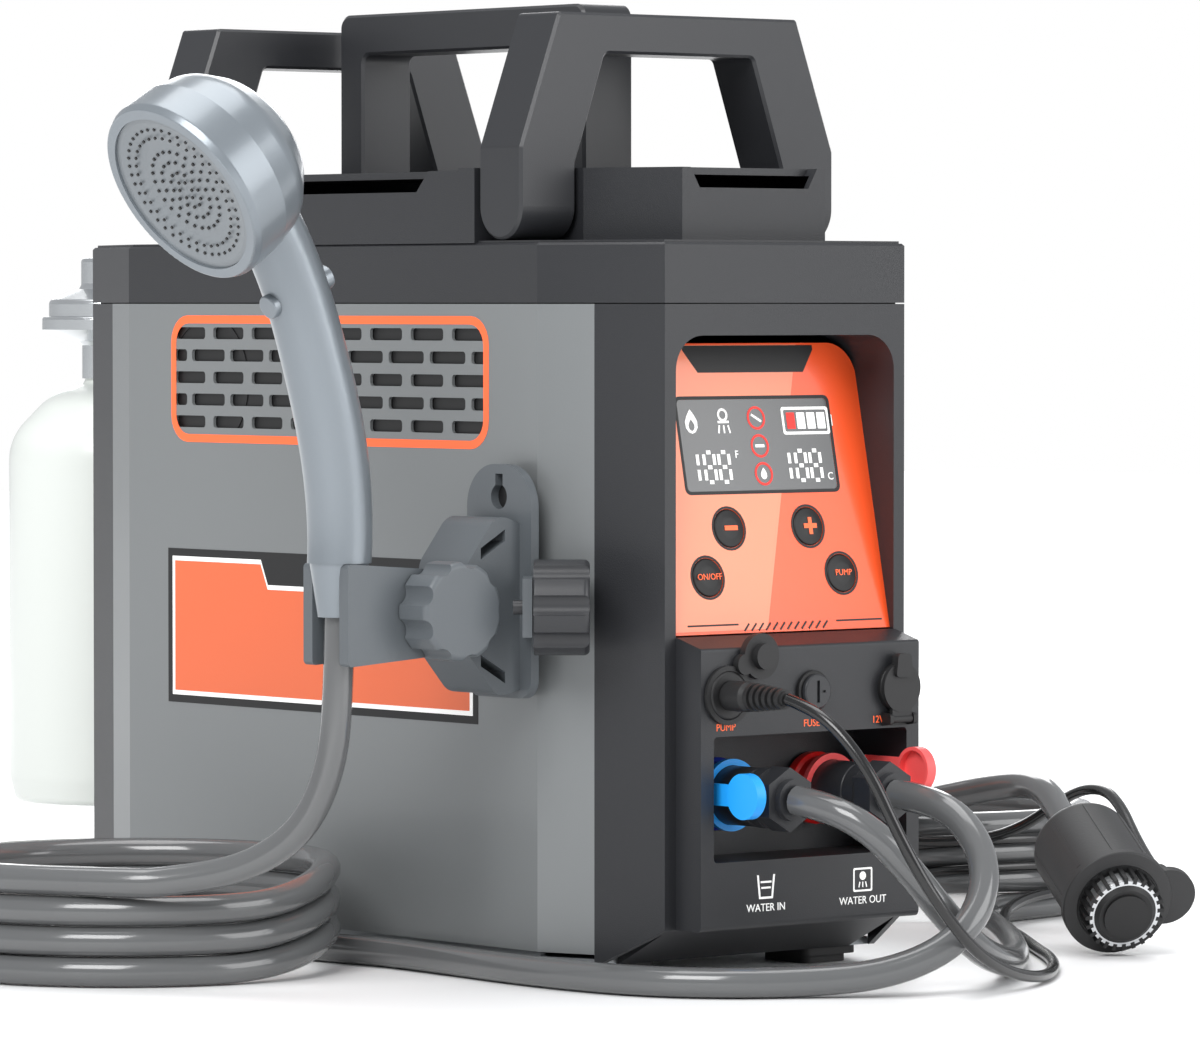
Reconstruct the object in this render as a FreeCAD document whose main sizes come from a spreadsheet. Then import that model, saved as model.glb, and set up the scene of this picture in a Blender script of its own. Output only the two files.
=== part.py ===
import FreeCAD, Part
import math
import os
import Sketcher

# Portable propane water heater with hand shower, holder, pump, hoses and gas bottle.
# Millimetres. +Z is up, the control panel faces -Y, the holder side faces -X, and the
# origin is the floor point under the centre of the heater.

os.makedirs("parts", exist_ok=True)
V = FreeCAD.Vector
document = FreeCAD.newDocument("portable_water_heater")
sheet = document.addObject("Spreadsheet::Sheet", "Sizes")

# Driving dimensions, each one a named cell of the sheet.
DRIVING = {
    "body_half_width": 88.2, "body_half_depth": 199.2, "side_flat": 142.7,
    "chamfer_across": 21.2, "chamfer_along": 56.5, "chamfer_cos": 0.9363, "chamfer_sin": 0.3513,
    "side_miter": 0.1815, "front_miter": 0.6928, "wrap_share": 0.45,
    "sheet_thick": 1.5, "cover_wall": 3.0, "shell_low": 12.0, "shell_top": 281.5, "skirt_low": 7.0,
    "front_skirt_low": 23.3, "lid_low": 282.0, "lid_top": 307.0,
    "slot_height": 5.2, "slot_pitch": 9.75, "slot_low": 227.0, "slot_long": 21.9, "slot_step": 27.8,
    "slot_wide": 23.9, "slot_short": 9.0, "slot_first": 97.5, "slot_corner": 1.6,
    "window_half": 61.0, "window_low": 144.0, "window_top": 268.5, "window_corner": 14.5,
    "window_depth": 166.0, "box_half": 61.0, "box_front": 215.0, "box_lip": 139.8, "ledge_rise": 4.5,
    "bay_half": 54.0, "bay_low": 51.5, "bay_top": 103.5, "bay_back": 182.0,
    "port_row": 120.5, "port_side": 47.3, "fitting_side": 28.0, "fitting_axis": 77.5,
    "panel_tilt": 11.5, "panel_front": 197.0, "panel_tall": 123.5, "panel_thick": 3.0,
    "display_half": 42.0, "display_low": 60.7, "display_top": 99.6, "display_thick": 1.2,
    "button_round": 8.0, "button_gap": 0.25,
    "carrier_floor": 308.0, "carrier_top": 338.5, "block_top": 337.6,
    "rib_inner": 90.8, "rib_outer": 101.5, "pivot_height": 322.2, "pivot_side": 117.7,
    "grip_half": 13.85, "grip_outer": 87.8, "grip_inner": 57.6, "grip_shoulder": 24.8,
    "grip_top_half": 66.8, "grip_rise": 81.5, "grip_hole_low": 17.8, "grip_hole_top": 64.5,
    "grip_hole_half": 41.2, "crown_outer": 84.7, "crown_inner": 68.0, "crown_rise": 88.0,
    "crown_beam": 18.0, "pin_round": 4.0, "pin_gap": 0.05,
    "holder_side": 131.0, "arm_axis": 144.5, "arm_level": 156.0, "cradle_axis": 183.5,
    "arm_low": 134.0, "arm_top": 176.0, "arm_half": 14.8, "cheek": 6.0, "tongue_half": 8.4,
    "bottle_axis": 274.0, "bottle_round": 49.75, "bottle_low": 48.0, "bottle_top": 244.3,
    "hose_round": 6.25, "cable_round": 2.5, "coil_across": 84.0, "coil_deep": 75.0,
    "coil_side": 190.0, "coil_tall": 50.0, "reel_side": 266.0, "reel_round": 78.9, "reel_tall": 50.0,
}


class Size:
    """A named size, or a sum or product of them, held as a number and as text for the sheet."""

    def __init__(self, number, text):
        self.number = number
        self.text = text

    def __add__(self, other):
        other = as_size(other)
        return Size(self.number + other.number, f"({self.text} + {other.text})")

    def __sub__(self, other):
        other = as_size(other)
        return Size(self.number - other.number, f"({self.text} - {other.text})")

    def __mul__(self, other):
        other = as_size(other)
        return Size(self.number * other.number, f"({self.text} * {other.text})")

    def __truediv__(self, other):
        other = as_size(other)
        return Size(self.number / other.number, f"({self.text} / {other.text})")

    def __neg__(self):
        return Size(-self.number, f"(0 - {self.text})")

    def __radd__(self, other):
        return as_size(other) + self

    def __rsub__(self, other):
        return as_size(other) - self

    def __rmul__(self, other):
        return as_size(other) * self

    def __float__(self):
        return float(self.number)


def as_size(value):
    if isinstance(value, Size):
        return value
    return Size(float(value), f"({float(value):.6g})")


def fill_sheet():
    for row, (alias, value) in enumerate(DRIVING.items(), start=1):
        sheet.set(f"A{row}", alias)
        sheet.set(f"B{row}", str(value))
        sheet.setAlias(f"B{row}", alias)
    document.recompute()
    return {alias: Size(value, f"Sizes.{alias}") for alias, value in DRIVING.items()}


S = fill_sheet()
PARTS = {}
PLANE_NORMAL = {"XY_Plane": V(0, 0, 1), "XZ_Plane": V(0, -1, 0), "YZ_Plane": V(1, 0, 0)}


def bind(thing, name, value):
    """Give a property its number now and the sheet's expression for good."""
    value = as_size(value)
    thing.setExpression(name, value.text)


def placed(x=0.0, y=0.0, z=0.0, axis=V(0, 0, 1), angle=0.0):
    return FreeCAD.Placement(V(float(x), float(y), float(z)), FreeCAD.Rotation(axis, float(angle)))


def keep(label, thing, place=None):
    thing.Label = label
    if place is not None:
        thing.Placement = place
    PARTS[label] = thing
    return thing


def new_body(label, place=None):
    body = document.addObject("PartDesign::Body", "Body_" + label)
    return keep(label, body, place)


def sketch_on(body, plane, level=0.0):
    """A sketch on one of the body's own origin planes, moved along that plane's normal."""
    sketch = body.newObject("Sketcher::SketchObject", "Sketch")
    support = [item for item in body.Origin.OriginFeatures if item.Role == plane][0]
    sketch.AttachmentSupport = [(support, "")]
    sketch.MapMode = "FlatFace"
    level = as_size(level)
    if level.number:
        bind(sketch, "AttachmentOffset.Base.z", level)
    return sketch


def corner_arc(before, point, after, radius):
    """The two tangent points and the centre of the arc that rounds one corner."""
    into = (before - point).normalize()
    out = (after - point).normalize()
    half = into.getAngle(out) / 2
    cut_back = radius / math.tan(half)
    centre = point + (into + out).normalize() * (radius / math.sin(half))
    return point + into * cut_back, point + out * cut_back, centre


def draw_outline(sketch, corners):
    """A closed outline. A corner is (x, y) or (x, y, radius); every value is bound to the sheet."""
    corners = [tuple(as_size(value) for value in corner) for corner in corners]
    count = len(corners)
    flat = [V(float(corner[0]), float(corner[1]), 0) for corner in corners]
    joints = []
    for index, corner in enumerate(corners):
        if len(corner) == 2:
            joints.append((flat[index], flat[index], None))
        else:
            joints.append(corner_arc(flat[index - 1], flat[index], flat[(index + 1) % count], float(corner[2])))
    lines = [sketch.addGeometry(Part.LineSegment(joints[index][1], joints[(index + 1) % count][0]), False)
             for index in range(count)]
    rules = []
    bound = []
    for index, corner in enumerate(corners):
        before, after = lines[index - 1], lines[index]
        holder = after
        if len(corner) == 2:
            rules.append(Sketcher.Constraint("Coincident", before, 2, after, 1))
        else:
            start, end, centre = joints[index]
            from_angle = math.atan2(start.y - centre.y, start.x - centre.x)
            to_angle = math.atan2(end.y - centre.y, end.x - centre.x)
            left_turn = (start - centre).cross(end - centre).z > 0
            circle = Part.Circle(centre, V(0, 0, 1), float(corner[2]))
            angles = (from_angle, to_angle) if left_turn else (to_angle, from_angle)
            arc = sketch.addGeometry(Part.ArcOfCircle(circle, *angles), False)
            holder = sketch.addGeometry(Part.Point(flat[index]), True)
            rules.append(Sketcher.Constraint("Tangent", before, 2, arc, 1 if left_turn else 2))
            rules.append(Sketcher.Constraint("Tangent", arc, 2 if left_turn else 1, after, 1))
            rules.append(Sketcher.Constraint("PointOnObject", holder, 1, before))
            rules.append(Sketcher.Constraint("PointOnObject", holder, 1, after))
            bound.append((len(rules), corner[2]))
            rules.append(Sketcher.Constraint("Radius", arc, float(corner[2])))
        bound.append((len(rules), corner[0]))
        rules.append(Sketcher.Constraint("DistanceX", holder, 1, float(corner[0])))
        bound.append((len(rules), corner[1]))
        rules.append(Sketcher.Constraint("DistanceY", holder, 1, float(corner[1])))
    bind_rules(sketch, rules, bound)


def bind_rules(sketch, rules, bound):
    first = sketch.ConstraintCount
    sketch.addConstraint(rules)
    for index, value in bound:
        if "Sizes" in value.text:
            sketch.setExpression(f"Constraints[{first + index}]", value.text)


def draw_circle(sketch, x, y, radius):
    x, y, radius = as_size(x), as_size(y), as_size(radius)
    circle = sketch.addGeometry(Part.Circle(V(float(x), float(y), 0), V(0, 0, 1), float(radius)), False)
    rules = [
        Sketcher.Constraint("DistanceX", circle, 3, float(x)),
        Sketcher.Constraint("DistanceY", circle, 3, float(y)),
        Sketcher.Constraint("Radius", circle, float(radius)),
    ]
    bind_rules(sketch, rules, [(0, x), (1, y), (2, radius)])


def profile(body, plane, low, high, outlines, circles):
    """A sketch midway between two levels along the plane's axis, and the distance between them."""
    low, high = as_size(low), as_size(high)
    middle = (low + high) * 0.5
    sketch = sketch_on(body, plane, -middle if plane == "XZ_Plane" else middle)
    for corners in outlines:
        draw_outline(sketch, corners)
    for circle in circles:
        draw_circle(sketch, *circle)
    return sketch, high - low


def add(body, plane, low, high, *outlines, circles=()):
    sketch, distance = profile(body, plane, low, high, outlines, circles)
    pad = body.newObject("PartDesign::Pad", "Pad")
    pad.Profile = sketch
    pad.SideType = "Symmetric"
    bind(pad, "Length", distance)
    sketch.Visibility = False
    return pad


def cut(body, plane, low, high, *outlines, circles=()):
    sketch, distance = profile(body, plane, low, high, outlines, circles)
    pocket = body.newObject("PartDesign::Pocket", "Pocket")
    pocket.Profile = sketch
    pocket.SideType = "Symmetric"
    bind(pocket, "Length", distance)
    sketch.Visibility = False
    return pocket


def turn(body, corners, kind="PartDesign::Revolution"):
    """Turn a (radius, height) outline about the body's own upright axis."""
    sketch = sketch_on(body, "XZ_Plane")
    draw_outline(sketch, corners)
    feature = body.newObject(kind, "Turned")
    feature.Profile = sketch
    feature.ReferenceAxis = (sketch, ["V_Axis"])
    feature.Angle = 360
    sketch.Visibility = False
    return feature


def in_row(body, feature, axis, distance, count, second=None):
    """Repeat a feature along an origin axis, and along a second one where given."""
    document.recompute()
    pattern = body.newObject("PartDesign::LinearPattern", "Row")
    pattern.Originals = [feature]
    axes = {item.Role: item for item in body.Origin.OriginFeatures}
    pattern.Direction = (axes[axis], [""])
    bind(pattern, "Length", distance)
    pattern.Occurrences = count
    if second:
        pattern.Direction2 = (axes[second[0]], [""])
        bind(pattern, "Length2", second[1])
        pattern.Occurrences2 = second[2]
    body.Tip = pattern
    return pattern


def in_ring(body, feature, count):
    document.recompute()
    pattern = body.newObject("PartDesign::PolarPattern", "Ring")
    pattern.Originals = [feature]
    axes = {item.Role: item for item in body.Origin.OriginFeatures}
    pattern.Axis = (axes["Z_Axis"], [""])
    pattern.Angle = 360
    pattern.Occurrences = count
    body.Tip = pattern
    return pattern


def soften(body, size, wanted, kind="PartDesign::Chamfer"):
    """Bevel or round the tip's edges that a test on the edge picks out."""
    document.recompute()
    base = body.Tip
    names = [f"Edge{index}" for index, edge in enumerate(base.Shape.Edges, start=1) if wanted(edge)]
    feature = body.newObject(kind, "Softened")
    feature.Base = (base, names)
    bind(feature, "Radius" if kind.endswith("Fillet") else "Size", size)
    return feature


def rect(low_x, high_x, low_y, high_y, radius=None):
    corners = [(low_x, low_y), (high_x, low_y), (high_x, high_y), (low_x, high_y)]
    if radius is None:
        return corners
    return [corner + (radius,) for corner in corners]


def mirrored_outline(half):
    """A closed outline symmetric about the sketch's upright axis, from its right-hand half."""
    return list(half) + [(-corner[0],) + tuple(corner[1:]) for corner in reversed(list(half))]


def straight(edge):
    return edge.Curve.TypeId == "Part::GeomLine"


def group(label, members, place=None):
    compound = document.addObject("Part::Compound", "Group_" + label)
    compound.Links = members
    for member in members:
        member.Visibility = False
    return keep(label, compound, place)


# Shell of the heater

def octagon(inset):
    """The heater's plan outline, drawn in by the same distance all round."""
    half_x = S["body_half_width"] - inset
    half_y = S["body_half_depth"] - inset
    flat_y = S["side_flat"] - S["side_miter"] * inset
    flat_x = S["body_half_width"] - S["chamfer_across"] - S["front_miter"] * inset
    quarter = [(half_x, flat_y), (flat_x, half_y)]
    top = quarter + [(-x, y) for x, y in reversed(quarter)]
    return [(x, -y) for x, y in reversed(top)] + top


def wrap_points():
    """Where the side panel ends on the corner chamfer: outer x and y, as positive sizes."""
    wrap_x = S["body_half_width"] - S["wrap_share"] * S["chamfer_across"]
    wrap_y = S["side_flat"] + S["wrap_share"] * S["chamfer_along"]
    return wrap_x, wrap_y


def make_base():
    tray = new_body("base_tray")
    wrap_x, wrap_y = wrap_points()
    wall = S["sheet_thick"]
    half = S["body_half_width"] - wall
    plan = [(half, S["side_flat"]), (wrap_x - wall, wrap_y - 1.4)]
    back = plan + [(-x, y) for x, y in reversed(plan)]
    outline = [(x, -y) for x, y in reversed(back)] + back
    add(tray, "XY_Plane", S["skirt_low"], S["skirt_low"] + 3, outline)
    for side in (-1, 1):
        inner, outer = side * (half - 3), side * half
        add(tray, "XY_Plane", S["skirt_low"] + 3, S["shell_low"] + 12,
            rect(min(inner, outer, key=float), max(inner, outer, key=float), -S["side_flat"], S["side_flat"]))
    rib = add(tray, "XY_Plane", S["skirt_low"] + 3, S["skirt_low"] + 5, rect(-70, 70, -121, -119))
    in_row(tray, rib, "Y_Axis", 240, 7)

    feet = new_body("rubber_feet")
    foot = add(feet, "XY_Plane", 3.5, S["skirt_low"], rect(-72, -42, -165, -130, 4))
    toe = add(feet, "XY_Plane", 0, 3.5, rect(-69, -45, -162, -133, 4))
    row = in_row(feet, foot, "X_Axis", 114, 2, ("Y_Axis", 295, 2))
    row.Originals = [foot, toe]


def make_side_panel(label, half_turn):
    """One bent sheet: the flat side, both corner wraps and the five rows of vent slots."""
    panel = new_body(label, placed(angle=half_turn))
    wall = S["sheet_thick"]
    wrap_x, wrap_y = wrap_points()
    outer = [(-wrap_x, -wrap_y), (-S["body_half_width"], -S["side_flat"])]
    inner_x = wall - S["body_half_width"]
    inner = [(inner_x, S["side_miter"] * wall - S["side_flat"]),
             (S["chamfer_cos"] * wall - wrap_x, S["chamfer_sin"] * wall - wrap_y)]
    front = outer + inner
    outline = [outer[0], outer[1], (outer[1][0], -outer[1][1]), (outer[0][0], -outer[0][1]),
               (inner[1][0], -inner[1][1]), (inner[0][0], -inner[0][1]), inner[0], inner[1]]
    add(panel, "XY_Plane", S["shell_low"], S["shell_top"], outline)
    low, high = -S["body_half_width"] - 1, wall - S["body_half_width"] + 1
    corner = S["slot_corner"]

    def slot(start, length, row):
        base = S["slot_low"] + S["slot_pitch"] * row
        return cut(panel, "YZ_Plane", low, high, rect(start, start + length, base, base + S["slot_height"], corner))

    reach = S["slot_first"] + S["slot_long"] / 2
    long_slot = slot(-reach, S["slot_long"], 0)
    in_row(panel, long_slot, "Y_Axis", S["slot_step"] * 7, 8, ("Z_Axis", S["slot_pitch"] * 4, 3))
    wide_start = -reach + S["slot_short"] + 4
    wide_slot = slot(wide_start, S["slot_wide"], 1)
    in_row(panel, wide_slot, "Y_Axis", (S["slot_wide"] + 4) * 6, 7, ("Z_Axis", S["slot_pitch"] * 2, 2))
    short_slot = slot(-reach, S["slot_short"], 1)
    in_row(panel, short_slot, "Y_Axis", reach * 2 - S["slot_short"], 2, ("Z_Axis", S["slot_pitch"] * 2, 2))


def cover_outline():
    """The plan outline of an end cover: the end wall and both remaining chamfers."""
    wall = S["cover_wall"]
    wrap_x, wrap_y = wrap_points()
    end_x = S["body_half_width"] - S["chamfer_across"]
    half_y = S["body_half_depth"]
    right = [(end_x, -half_y), (wrap_x, -wrap_y),
             (wrap_x - S["chamfer_cos"] * wall, S["chamfer_sin"] * wall - wrap_y),
             (end_x - S["front_miter"] * wall, wall - half_y)]
    return right + [(-x, y) for x, y in reversed(right)]


def make_cover(label, half_turn):
    """An end cover with its sloping lower lip."""
    cover = new_body(label, placed(angle=half_turn))
    add(cover, "XY_Plane", S["skirt_low"], S["shell_top"], cover_outline())
    wrap_x, wrap_y = wrap_points()
    low_lip = [(-S["body_half_depth"] - 1, S["skirt_low"] - 1), (-S["body_half_depth"] - 1, S["front_skirt_low"]),
               (-S["body_half_depth"], S["front_skirt_low"]), (-wrap_y, S["skirt_low"]),
               (-wrap_y, S["skirt_low"] - 1)]
    cut(cover, "YZ_Plane", -S["body_half_width"], S["body_half_width"], low_lip)
    floor = [(-wrap_y + 1, S["skirt_low"]), (-S["body_half_depth"] + 1, S["front_skirt_low"] - 0.5),
             (-S["body_half_depth"] + 1, S["front_skirt_low"] + 2.5), (-wrap_y + 1, S["skirt_low"] + 3)]
    add(cover, "YZ_Plane", -65, 65, floor)
    return cover


def make_front_cover():
    cover = make_cover("front_cover", 0)
    wall = S["cover_wall"]
    front = -S["body_half_depth"]
    # The lower box with its sloping ledge
    box = [(-S["box_front"], S["front_skirt_low"], 2.5), (front, S["front_skirt_low"]),
           (front, S["window_low"] + 0.3), (-S["box_front"], S["box_lip"], 1.5)]
    add(cover, "YZ_Plane", -S["box_half"], S["box_half"], box)
    hollow_back = front + wall + 4
    hollow = [(wall - S["box_front"], S["front_skirt_low"] + wall), (hollow_back, S["front_skirt_low"] + wall),
              (hollow_back, S["window_low"] - wall), (wall - S["box_front"], S["box_lip"] - wall)]
    cut(cover, "YZ_Plane", wall - S["box_half"], S["box_half"] - wall, hollow)
    # The reveal round the control panel
    half, low, top = S["window_half"], S["window_low"], S["window_top"]
    round_in = S["window_corner"]
    reveal = [(half + wall, low - wall), (half + wall, top + wall, round_in + wall)]
    opening = [(half, low), (half, top, round_in)]
    add(cover, "XZ_Plane", front + 1, -S["window_depth"], mirrored_outline(reveal))
    cut(cover, "XZ_Plane", front - 1, 1 - S["window_depth"], mirrored_outline(opening))
    # The connection bay
    bay = S["bay_half"]
    add(cover, "XZ_Plane", 1 - S["box_front"], wall - S["bay_back"],
        rect(-bay - wall, bay + wall, S["bay_low"] - wall, S["bay_top"] + wall))
    cut(cover, "XZ_Plane", -S["box_front"] - 1, -S["bay_back"], rect(-bay, bay, S["bay_low"], S["bay_top"], 2.0))
    # Holes for the sockets and the water fittings
    row = S["port_row"]
    side = S["port_side"]
    cut(cover, "XZ_Plane", -S["box_front"] - 1, wall + 1 - S["box_front"],
        circles=[(-side, row, 8.7), (side, row, 8.7), (0, row, 6.9)])
    cut(cover, "XZ_Plane", -S["bay_back"] - 1, wall + 1 - S["bay_back"],
        circles=[(-S["fitting_side"], S["fitting_axis"], 8.7), (S["fitting_side"], S["fitting_axis"], 8.7)])


def make_rear_cover():
    cover = make_cover("rear_cover", 180)
    front = -S["body_half_depth"]
    # Air louvres, a screw boss row and the gas inlet boss
    louvre = cut(cover, "XZ_Plane", front - 1, front + S["cover_wall"] + 1, rect(-48, 48, 60, 64, 1.9))
    in_row(cover, louvre, "Z_Axis", 72, 7)
    add(cover, "XZ_Plane", front - 4, front + 1, circles=[(0, 274, 7.4)])
    cut(cover, "XZ_Plane", front - 5, front + S["cover_wall"] + 1, circles=[(0, 274, 5.05)])


def make_lid():
    lid = new_body("lid")
    add(lid, "XY_Plane", S["lid_low"], S["lid_top"], octagon(0))
    soften(lid, 1.0, lambda edge: straight(edge) and edge.BoundBox.ZMin > 306.9)
    cut(lid, "XY_Plane", S["lid_low"], S["lid_top"] - 3, octagon(3))


def make_carrier():
    """The moulding on the lid: two ribs, two bosses, the grip block and the core block."""
    carrier = new_body("handle_carrier")
    base, top = S["lid_top"], S["carrier_top"]
    half = S["body_half_width"]
    add(carrier, "XY_Plane", base, S["carrier_floor"], octagon(2))
    for side in (-1, 1):
        near, far = side * S["rib_inner"], side * S["rib_outer"]
        add(carrier, "XY_Plane", base, top, rect(-half, half, min(near, far, key=float), max(near, far, key=float)))
        boss = [(40, side * 179), (55.8, side * 134), (55.8, side * S["rib_outer"])]
        outline = mirrored_outline(boss)
        add(carrier, "XY_Plane", base, top, outline)
        hollow = mirrored_outline([(38, side * 176), (52.8, side * 133.5), (52.8, side * (S["rib_outer"] + 2))])
        cut(carrier, "XY_Plane", base, top - 3, hollow)
        notch = mirrored_outline([(36, top + 1), (30.4, top - 8.5)])
        levels = sorted((side * 180, side * 173))
        cut(carrier, "XZ_Plane", levels[0], levels[1], notch)
    add(carrier, "XY_Plane", base, S["block_top"], rect(-half, -16.5, -S["rib_inner"], S["rib_inner"]))
    add(carrier, "XY_Plane", base, S["block_top"], rect(17, 67, -65.5, 65.5))
    cut(carrier, "XY_Plane", base, S["block_top"] - 3, rect(3 - half, -19.5, -S["rib_inner"] + 1, S["rib_inner"] - 1),
        rect(20, 64, -62.5, 62.5))
    finger = mirrored_outline([(71.7, S["block_top"] + 1), (62.6, S["block_top"] - 8.8)])
    cut(carrier, "YZ_Plane", -half - 1, 8 - half, finger)
    # Bores for the stub pins
    pin = S["pin_round"]
    cut(carrier, "YZ_Plane", -56, 56, circles=[(-S["pivot_side"], S["pivot_height"], pin),
                                              (S["pivot_side"], S["pivot_height"], pin)])
    cut(carrier, "XZ_Plane", -100, 100, circles=[(0, S["pivot_height"], pin)])


# Folding handles

def make_grip(label, side):
    """A U handle across the heater, its leg ends rounded about the pivot."""
    grip = new_body(label)
    pivot = S["pivot_height"]
    middle = S["pivot_side"] * side
    half = S["grip_half"]
    right = [(S["grip_inner"], pivot - half), (S["grip_outer"], pivot - half),
             (S["grip_outer"], pivot + S["grip_shoulder"], 3), (S["grip_top_half"], pivot + S["grip_rise"], 2)]
    hole = [(S["grip_inner"], pivot + S["grip_hole_low"], 3), (S["grip_hole_half"], pivot + S["grip_hole_top"], 3)]
    left = [(-c[0],) + tuple(c[1:]) for c in reversed(right)]
    hole_left = [(-c[0],) + tuple(c[1:]) for c in hole]
    add(grip, "XZ_Plane", middle - half, middle + half, right + left + hole_left + list(reversed(hole)))
    around = rect(middle - half - 9, middle + half + 9, pivot - half - 9, pivot + S["grip_rise"] + 9)
    kept = [(middle - half, pivot + S["grip_rise"] + 4), (middle + half, pivot + S["grip_rise"] + 4),
            (middle + half, pivot - half, half - 0.01), (middle - half, pivot - half, half - 0.01)]
    cut(grip, "YZ_Plane", -100, 100, around, kept)
    cut(grip, "YZ_Plane", -84, 84, circles=[(middle, pivot, S["pin_round"] + S["pin_gap"])])
    soften(grip, 1.2, lambda edge: straight(edge) and edge.BoundBox.YLength < 0.01
           and edge.BoundBox.ZMax > float(pivot) + 1 and edge.Length > 5)


def make_crown():
    """The top handle, along the heater, between the two ribs."""
    crown = new_body("top_handle")
    pivot = S["pivot_height"]
    half = S["grip_half"]
    top = pivot + S["crown_rise"]
    right = [(S["crown_inner"], pivot - half), (S["crown_outer"], pivot - half), (S["crown_outer"], top, 6)]
    hole = [(S["crown_inner"], top - S["crown_beam"], 4)]
    left = [(-c[0],) + tuple(c[1:]) for c in reversed(right)]
    hole_left = [(-c[0],) + tuple(c[1:]) for c in hole]
    add(crown, "YZ_Plane", -half, half, right + left + hole_left + hole)
    around = rect(-half - 9, half + 9, pivot - half - 9, top + 9)
    kept = [(-half, top + 4), (half, top + 4), (half, pivot - half, half - 0.01), (-half, pivot - half, half - 0.01)]
    cut(crown, "XZ_Plane", -90, 90, around, kept)
    for side in (-1, 1):
        levels = sorted((side * 71.0, side * 86.0))
        cut(crown, "XZ_Plane", levels[0], levels[1], circles=[(0, pivot, S["pin_round"] + S["pin_gap"])])
    soften(crown, 1.2, lambda edge: straight(edge) and edge.BoundBox.XLength < 0.01
           and edge.BoundBox.ZMax > float(pivot) + 1 and edge.Length > 5)


def make_pins():
    """Six stub pins: two for each handle, pressed into the carrier."""
    pins = []
    for side in (-1, 1):
        for end in (-1, 1):
            pin = document.addObject("Part::Cylinder", "Pin")
            bind(pin, "Radius", S["pin_round"])
            pin.Height = 30.5
            pin.Placement = placed(end * 52.8, float(S["pivot_side"]) * side, float(S["pivot_height"]),
                                   V(0, 1, 0), 90 * end)
            pins.append(pin)
        pin = document.addObject("Part::Cylinder", "Pin")
        bind(pin, "Radius", S["pin_round"])
        pin.Height = 28
        pin.Placement = placed(0, 99.5 * side, float(S["pivot_height"]), V(1, 0, 0), 90 * side)
        pins.append(pin)
    group("handle_pins", pins)


# Control panel

PANEL_PLACE = placed(0, -float(S["panel_front"]), float(S["window_low"]), V(1, 0, 0), 90 - float(S["panel_tilt"]))
BUTTONS = {"button_minus": (-22.2, 44.9), "button_plus": (22.2, 44.9),
           "button_power": (-37.5, 24.5), "button_pump": (37.5, 24.5)}


def make_panel():
    plate = new_body("panel_plate", PANEL_PLACE)
    half = S["window_half"]
    outline = mirrored_outline([(half, 0.7), (half, S["panel_tall"], S["window_corner"])])
    add(plate, "XY_Plane", -S["panel_thick"], 0, outline)
    window = rect(-S["display_half"], S["display_half"], S["display_low"], S["display_top"], 2)
    cut(plate, "XY_Plane", -S["display_thick"], 1, window)
    hole = S["button_round"] + S["button_gap"]
    cut(plate, "XY_Plane", -S["panel_thick"] - 1, 1, circles=[(x, y, hole) for x, y in BUTTONS.values()])
    glass = new_body("display_window", PANEL_PLACE)
    add(glass, "XY_Plane", -S["display_thick"], 0, window)
    for label, (x, y) in BUTTONS.items():
        button = new_body(label, PANEL_PLACE.multiply(placed(x, y, 0)))
        size = S["button_round"]
        turn(button, [(0, -5), (size + 1.4, -5), (size + 1.4, -3.3), (size, -3.3), (size, 0.4, 0.8),
                      (size - 3.5, 1.3, 6), (0, 1.6)])
    board = new_body("control_board", PANEL_PLACE)
    add(board, "XY_Plane", -8.6, -7, rect(-52, 52, 8, 112, 3))
    add(board, "XY_Plane", -7.2, -S["panel_thick"], circles=[(x, y, 3) for x in (-48, 48) for y in (12, 108)])
    add(board, "XY_Plane", -7.2, -6.1, *[rect(x - 3, x + 3, y - 3, y + 3) for x, y in BUTTONS.values()])
    add(board, "XY_Plane", -12.5, -8.5, rect(-30, -8, 60, 82), rect(10, 40, 55, 70), rect(-40, 35, 92, 100))


# Sockets, fuse and caps on the lower box. Their bodies are turned so that local +Z leaves the box.

def on_box(x, level=0.0):
    return placed(x, -float(S["box_front"]), float(S["port_row"]) + level, V(1, 0, 0), 90)


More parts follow.
